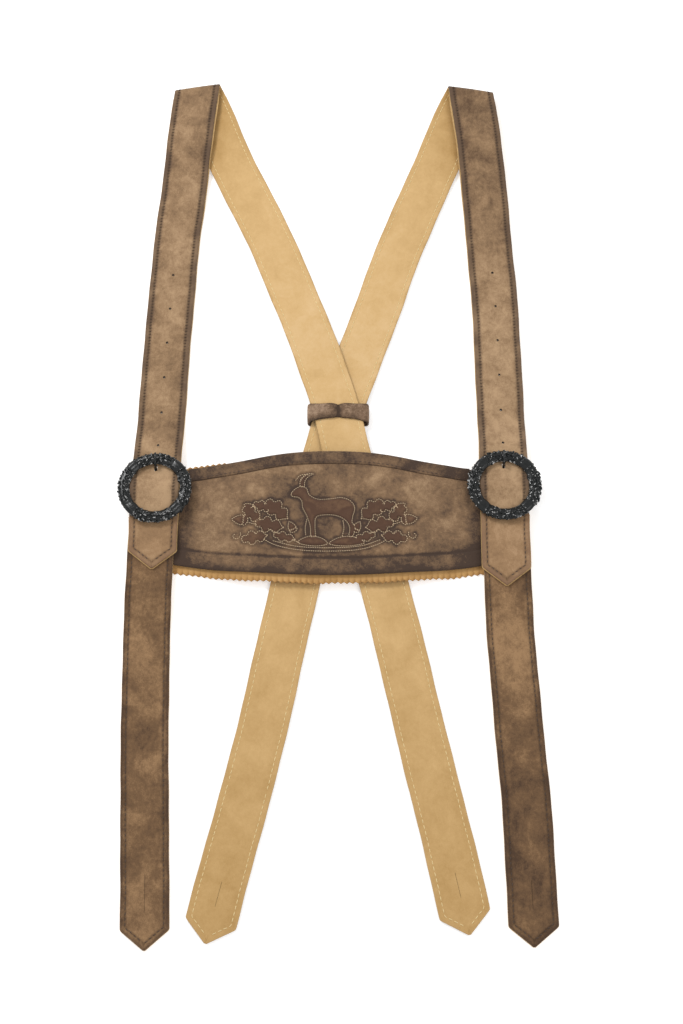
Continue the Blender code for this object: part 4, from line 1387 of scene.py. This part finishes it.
def wreath(side):
    """The round frame: four quarters of leaves and berries with smooth wraps between them."""
    solid = Surface(side + "_buckle_frame")
    low, high = solid.low, solid.high
    centre = 0.5 * (low + high)
    radius = 0.5 * (WREATH_OUTER + WREATH_INNER)
    half = 0.5 * (WREATH_OUTER - WREATH_INNER)
    thick = high[2] - low[2]
    local = np.random.default_rng(5 if side == "left" else 6)
    verts = []
    faces = []

    def on_ring(angle, r, z):
        return centre[0] + r * math.cos(angle), centre[1] + r * math.sin(angle), z

    def place_at(mesh, angle, ring, z, turn=0.0, lean=0.0):
        """Puts a small mesh on the ring, its +X turned from the tangent and tipped outwards."""
        points, shape = mesh
        c, s = math.cos(turn), math.sin(turn)
        x = points[:, 0] * c - points[:, 1] * s
        y = points[:, 0] * s + points[:, 1] * c
        up = points[:, 2] + y * math.tan(lean)
        tangent = np.array([-math.sin(angle), math.cos(angle)])
        outward = np.array([math.cos(angle), math.sin(angle)])
        plan = outward * (ring + y)[:, None] + tangent * x[:, None]
        base = len(verts)
        verts.extend(np.column_stack([plan + centre[:2], up + z]))
        faces.extend(shifted(shape, base))

    section = [((half - 0.9) * math.cos(a), 0.30 * thick * math.sin(a)) for a in circle(14)]
    rings = 96
    for angle in circle(rings):
        for across, up in section:
            verts.append(on_ring(angle, radius + across, low[2] + 0.38 * thick + up))
    faces.extend(ring_faces(rings, len(section), closed=True))

    reach = 0.25 * math.pi - WRAP_HALF_ANGLE
    for quarter in range(4):
        middle = 0.5 * math.pi * quarter
        way = 1.0 if quarter % 2 else -1.0
        for ring, turn, stagger, level in LEAF_ROWS:
            for i in range(LEAVES_IN_ROW):
                share = -1.0 + 2.0 * (i + stagger) / LEAVES_IN_ROW
                angle = middle + reach * share + local.uniform(-0.025, 0.025)
                size = local.uniform(0.82, 1.12)
                leaf = leaf_mesh(way * LEAF_LENGTH * size, LEAF_WIDTH * size * local.uniform(0.9, 1.15), 1.15)
                z = low[2] + thick * level + local.uniform(-0.25, 0.25)
                twist = way * turn + local.uniform(-0.22, 0.22)
                place_at(leaf, angle, radius + ring + local.uniform(-0.3, 0.3), z, twist, -0.3 * turn)
        for i in range(BERRIES):
            share = -1.0 + 2.0 * i / (BERRIES - 1)
            angle = middle + reach * share + local.uniform(-0.03, 0.03)
            out = half - local.uniform(0.8, 1.4)
            size = local.uniform(0.65, 1.0)
            place_at(ball_mesh(size), angle, radius + out, low[2] + thick * local.uniform(0.36, 0.46))
            if i % 2:
                inward = radius - out + local.uniform(0.2, 0.6)
                place_at(ball_mesh(size * 0.85), angle, inward, low[2] + thick * 0.42)
            if local.uniform() < 0.55:
                across = local.uniform(-2.0, 2.0)
                place_at(ball_mesh(size * 0.8), angle, radius + across, low[2] + thick * 0.78)
    for i in range(4):
        middle = 0.25 * math.pi + 0.5 * math.pi * i
        base = len(verts)
        for share in np.linspace(-1.0, 1.0, WRAP_STATIONS):
            size = 0.78 + 0.18 * math.sqrt(max(0.0, 1.0 - share * share))
            angle = middle + share * (WRAP_HALF_ANGLE + 0.02)
            for a in circle(WRAP_SIDES):
                ridge = 1.0 + 0.10 * math.cos(6.0 * a) * (math.sin(a) > -0.2)
                z = low[2] + 0.5 * thick + 0.46 * thick * math.sin(a) * size * ridge
                verts.append(on_ring(angle, radius + (half - 0.5) * math.cos(a) * size, z))
        faces.extend(shifted(ring_faces(WRAP_STATIONS, WRAP_SIDES), base))
    made = make_mesh(side + "_wreath", verts, faces, METAL, sharp=50.0)
    attach(made, "buckle_metal", "front_straps", [side + "_buckle_frame"])


PRONG_RINGS = 70
PRONG_SIDES = 14


def prong(side):
    """The prong: an eye round the bar, a shank under the strap and a tip over the rim."""
    pivot = np.array(JOINTS[side + "_prong_hinge"]["pos_m"]) / MM
    solid = Surface(side + "_prong")
    rim = Surface(side + "_buckle_frame").high[2]
    bar = Surface(side + "_buckle_bar")
    bar_radius = pivot[2] - bar.low[2]
    eye = bar_radius + 0.85
    points = []
    for i in range(24):
        angle = math.radians(120.0 + 12.0 * i)
        points.append((eye * math.cos(angle), eye * math.sin(angle)))
    top = solid.high[2] - pivot[2]
    tip = solid.high[1] - pivot[1]
    rim = rim - pivot[2]
    points += [(7.0, -2.0), (13.6, -2.1), (15.6, -1.2), (16.4, 1.4), (16.8, 4.5), (17.5, rim - 1.2)]
    points += [(19.2, rim + 1.0), (21.5, rim + 1.55), (24.5, top - 1.15), (tip, top - 1.5)]
    radii = [0.65] * 24 + [1.0, 1.05, 1.05, 1.05, 1.05, 1.1, 1.15, 1.1, 0.95, 0.4]
    lengths = path_lengths(np.array(points))
    evenly = np.linspace(0.0, lengths[-1], PRONG_RINGS)
    smoothed = blur(at_length(evenly, lengths, np.column_stack([points, radii])).T, 1)
    verts = []
    for i, (y, z, r) in enumerate(smoothed):
        before, after = smoothed[max(0, i - 1)], smoothed[min(PRONG_RINGS - 1, i + 1)]
        out = sideways(unit((after - before)[:2]))
        for angle in circle(PRONG_SIDES):
            across, up = r * math.cos(angle), r * math.sin(angle)
            verts.append(pivot + (across, y + out[0] * up, z + out[1] * up))
    made = make_mesh(side + "_prong_bent", verts, ring_faces(PRONG_RINGS, PRONG_SIDES), METAL)
    attach(made, "buckle_metal", side + "_prong", [side + "_prong"])


def bar_finish(side):
    node = NODES[side + "_buckle_bar"]
    for place in node.material_slots:
        place.material = METAL


def hanger_loop(side, hanger):
    """The hanger's leather, turned round the bar on both sides of the prong and back under itself."""
    pivot = np.array(JOINTS[side + "_prong_hinge"]["pos_m"]) / MM
    bar = Surface(side + "_buckle_bar")
    radius = pivot[2] - bar.low[2] + 0.3
    start = hanger.point(0.0, 0.0, LEATHER_FLOOR)
    path = [(start[1] - pivot[1], start[2] - pivot[2])]
    for i in range(15):
        angle = math.radians(130.0 - 220.0 * i / 14)
        path.append((radius * math.cos(angle), radius * math.sin(angle)))
    path.append((-14.0, -radius))
    path = np.array(path)
    verts = []
    faces = []
    for low, high in ((-HALF, -2.3), (2.3, HALF)):
        base = len(verts)
        edges = ((low, 0.0), (low, 0.7), (low + 0.4, 1.0), (high - 0.4, 1.0), (high, 0.7), (high, 0.0))
        for i, (y, z) in enumerate(path):
            ahead = path[min(i + 1, len(path) - 1)] - path[max(i - 1, 0)]
            out = sideways(unit(ahead)) * 1.35
            for x, share in edges:
                verts.append((pivot[0] + x, pivot[1] + y + out[0] * share, pivot[2] + z + out[1] * share))
        faces += shifted(ring_faces(len(path), len(edges)), base)
    verts = np.array(verts)
    uv = np.column_stack([verts[:, 1] + 2.0 * verts[:, 2], verts[:, 0]])
    marks = {"edge": np.full(len(verts), 3.0), "tone": np.full(len(verts), 0.4)}
    made = make_mesh(side + "_hanger_loop", verts, faces, DEEP, uv, marks)
    attach(made, "strap_leather", "front_straps")


# ---------------------------------------------------------------- keeper

KEEPER_ARCH = 0.55


def keeper():
    """The loop round the crossing, its ends butted and drawn together at the middle of the face."""
    solid = Surface("keeper_loop")
    low, high = solid.low, solid.high
    centre = 0.5 * (low + high)
    half = 0.5 * (high[0] - low[0])
    wall = 1.4
    corner = 3.2
    corners = ((half - corner, high[2] - corner, 0.0), (corner - half, high[2] - corner, 90.0))
    corners += ((corner - half, low[2] + corner, 180.0), (half - corner, low[2] + corner, 270.0))
    loop = []
    for x, z, start in corners:
        for i in range(9):
            angle = math.radians(start + 11.25 * i)
            nx, nz = math.cos(angle), math.sin(angle)
            loop.append((x + corner * nx, z + corner * nz, nx, nz))
        if start in (0.0, 180.0):
            sign = 1.0 if start == 0.0 else -1.0
            edge_z = high[2] if start == 0.0 else low[2]
            span = half - corner
            for share in np.linspace(1.0, -1.0, 46)[1:-1]:
                loop.append((sign * share * span, edge_z, 0.0, sign))
    edge = [(-1.0, 0.0), (-1.0, 0.55), (-0.93, 0.85), (-0.8, 1.0), (-0.4, 1.1)]
    section = edge + [(0.0, 1.12)] + [(-along, out) for along, out in reversed(edge)]
    depth = 0.5 * (high[1] - low[1])
    verts = []
    uv = []
    marks = {"edge": [], "tone": []}
    travelled = 0.0
    for i, (x, z, nx, nz) in enumerate(loop):
        before = loop[i - 1]
        travelled += math.hypot(x - before[0], z - before[1]) if i else 0.0
        face = nz > 0.7
        pinch = math.exp(-((x / 2.2) ** 2)) if face else 0.0
        cleft = math.exp(-((x / 0.55) ** 2)) if face else 0.0
        swell = math.exp(-(((abs(x) - 6.5) / 4.5) ** 2)) if face else 0.0
        for along, out in section:
            deep = depth * (1.0 - 0.10 * pinch + 0.04 * swell)
            lift = wall * (out - 1.0)
            if out > 0.5:
                lift += 0.9 * swell * (1.0 - along * along * 0.6) - 0.8 * cleft
            arch = 1.0
            if face and along < 0.0:
                arch -= KEEPER_ARCH * max(0.0, 1.0 - (x / half) ** 2)
            y = centre[1] + deep * along * arch
            verts.append((centre[0] + x + nx * lift, y, z + nz * lift))
            uv.append((travelled + 5000.0, y))
            # Painted shade: the tone darkens in the cleft, around the pinch and over the face towards its
            # arched lower edge; the edge mark is also smaller at the cleft, which darkens it further.
            marks["edge"].append(depth * (1.0 - abs(along)) + 2.2 * (1.0 - cleft) * 0.2)
            marks["tone"].append(0.60 - 0.5 * cleft - 0.15 * pinch - 0.16 * face * smooth(-along * 1.4))
    faces = ring_faces(len(loop), len(section), closed=True)
    made = make_mesh("keeper_hide", verts, faces, KEEPER, uv, marks)
    attach(made, "keeper_leather", "keeper", ["keeper_loop"])


# ---------------------------------------------------------------- stage, light and camera

def stage():
    """A plain white floor, a bright even surround and two soft lamps."""
    bpy.ops.mesh.primitive_plane_add(size=8.0, location=(0.0, 0.0, -0.0004))
    floor = bpy.context.object
    floor.name = "floor"
    made, tree, shader = nodes_of("white_paper")
    white = (1.0, 1.0, 1.0, 1.0)
    inputs = {"Base Color": (0.88, 0.88, 0.88, 1.0), "Emission Color": white, "Emission Strength": 0.35}
    fill(tree, shader, {**inputs, "Roughness": 0.9})
    floor.data.materials.append(made)
    floor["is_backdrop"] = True
    world = bpy.data.worlds.new("surround")
    bpy.context.scene.world = world
    world.use_nodes = True
    surround = world.node_tree
    fill(surround, surround.nodes["Background"], {"Color": white, "Strength": 0.75})
    for name, place, size, energy in (
        ("key", (-0.75, 0.85, 1.25), 0.5, 14.0),
        ("fill", (0.9, -0.6, 1.3), 0.9, 6.0),
    ):
        lamp = bpy.data.lights.new(name, "AREA")
        lamp.size = size
        lamp.energy = energy
        held = bpy.data.objects.new(name, lamp)
        bpy.context.scene.collection.objects.link(held)
        held.location = place
        held.rotation_euler = (-Vector(place)).to_track_quat("-Z", "Y").to_euler()
    bpy.context.scene.view_settings.view_transform = "Standard"


def camera():
    """Looking down and slightly towards the shoulders, at the middle of the braces."""
    lean = math.radians(20.0)
    distance = 1.3
    low, high = (np.array(corner) for corner in cad_box)
    target = 0.5 * (low + high)
    target = np.array([target[0] + 0.009, target[1] - 0.027, 0.0])
    lens = bpy.data.cameras.new("view")
    lens.sensor_width = 36.0
    lens.sensor_fit = "VERTICAL"
    lens.sensor_height = 36.0
    lens.lens = 59.4
    held = bpy.data.objects.new("view", lens)
    bpy.context.scene.collection.objects.link(held)
    held.location = target + np.array([0.0, -math.sin(lean), math.cos(lean)]) * distance
    held.rotation_euler = (lean, 0.0, 0.0)
    bpy.context.scene.camera = held


stage()
camera()
hangers = {side: make_straps(side, index) for index, side in enumerate(("left", "right"))}
for side, hanger in hangers.items():
    wreath(side)
    prong(side)
    bar_finish(side)
    hanger_loop(side, hanger)
chest_band()
embroidery()
keeper()

sizes = {"cad_box": cad_box, "visual_box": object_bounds()}
{key: [list(corner) for corner in box] for key, box in sizes.items()}
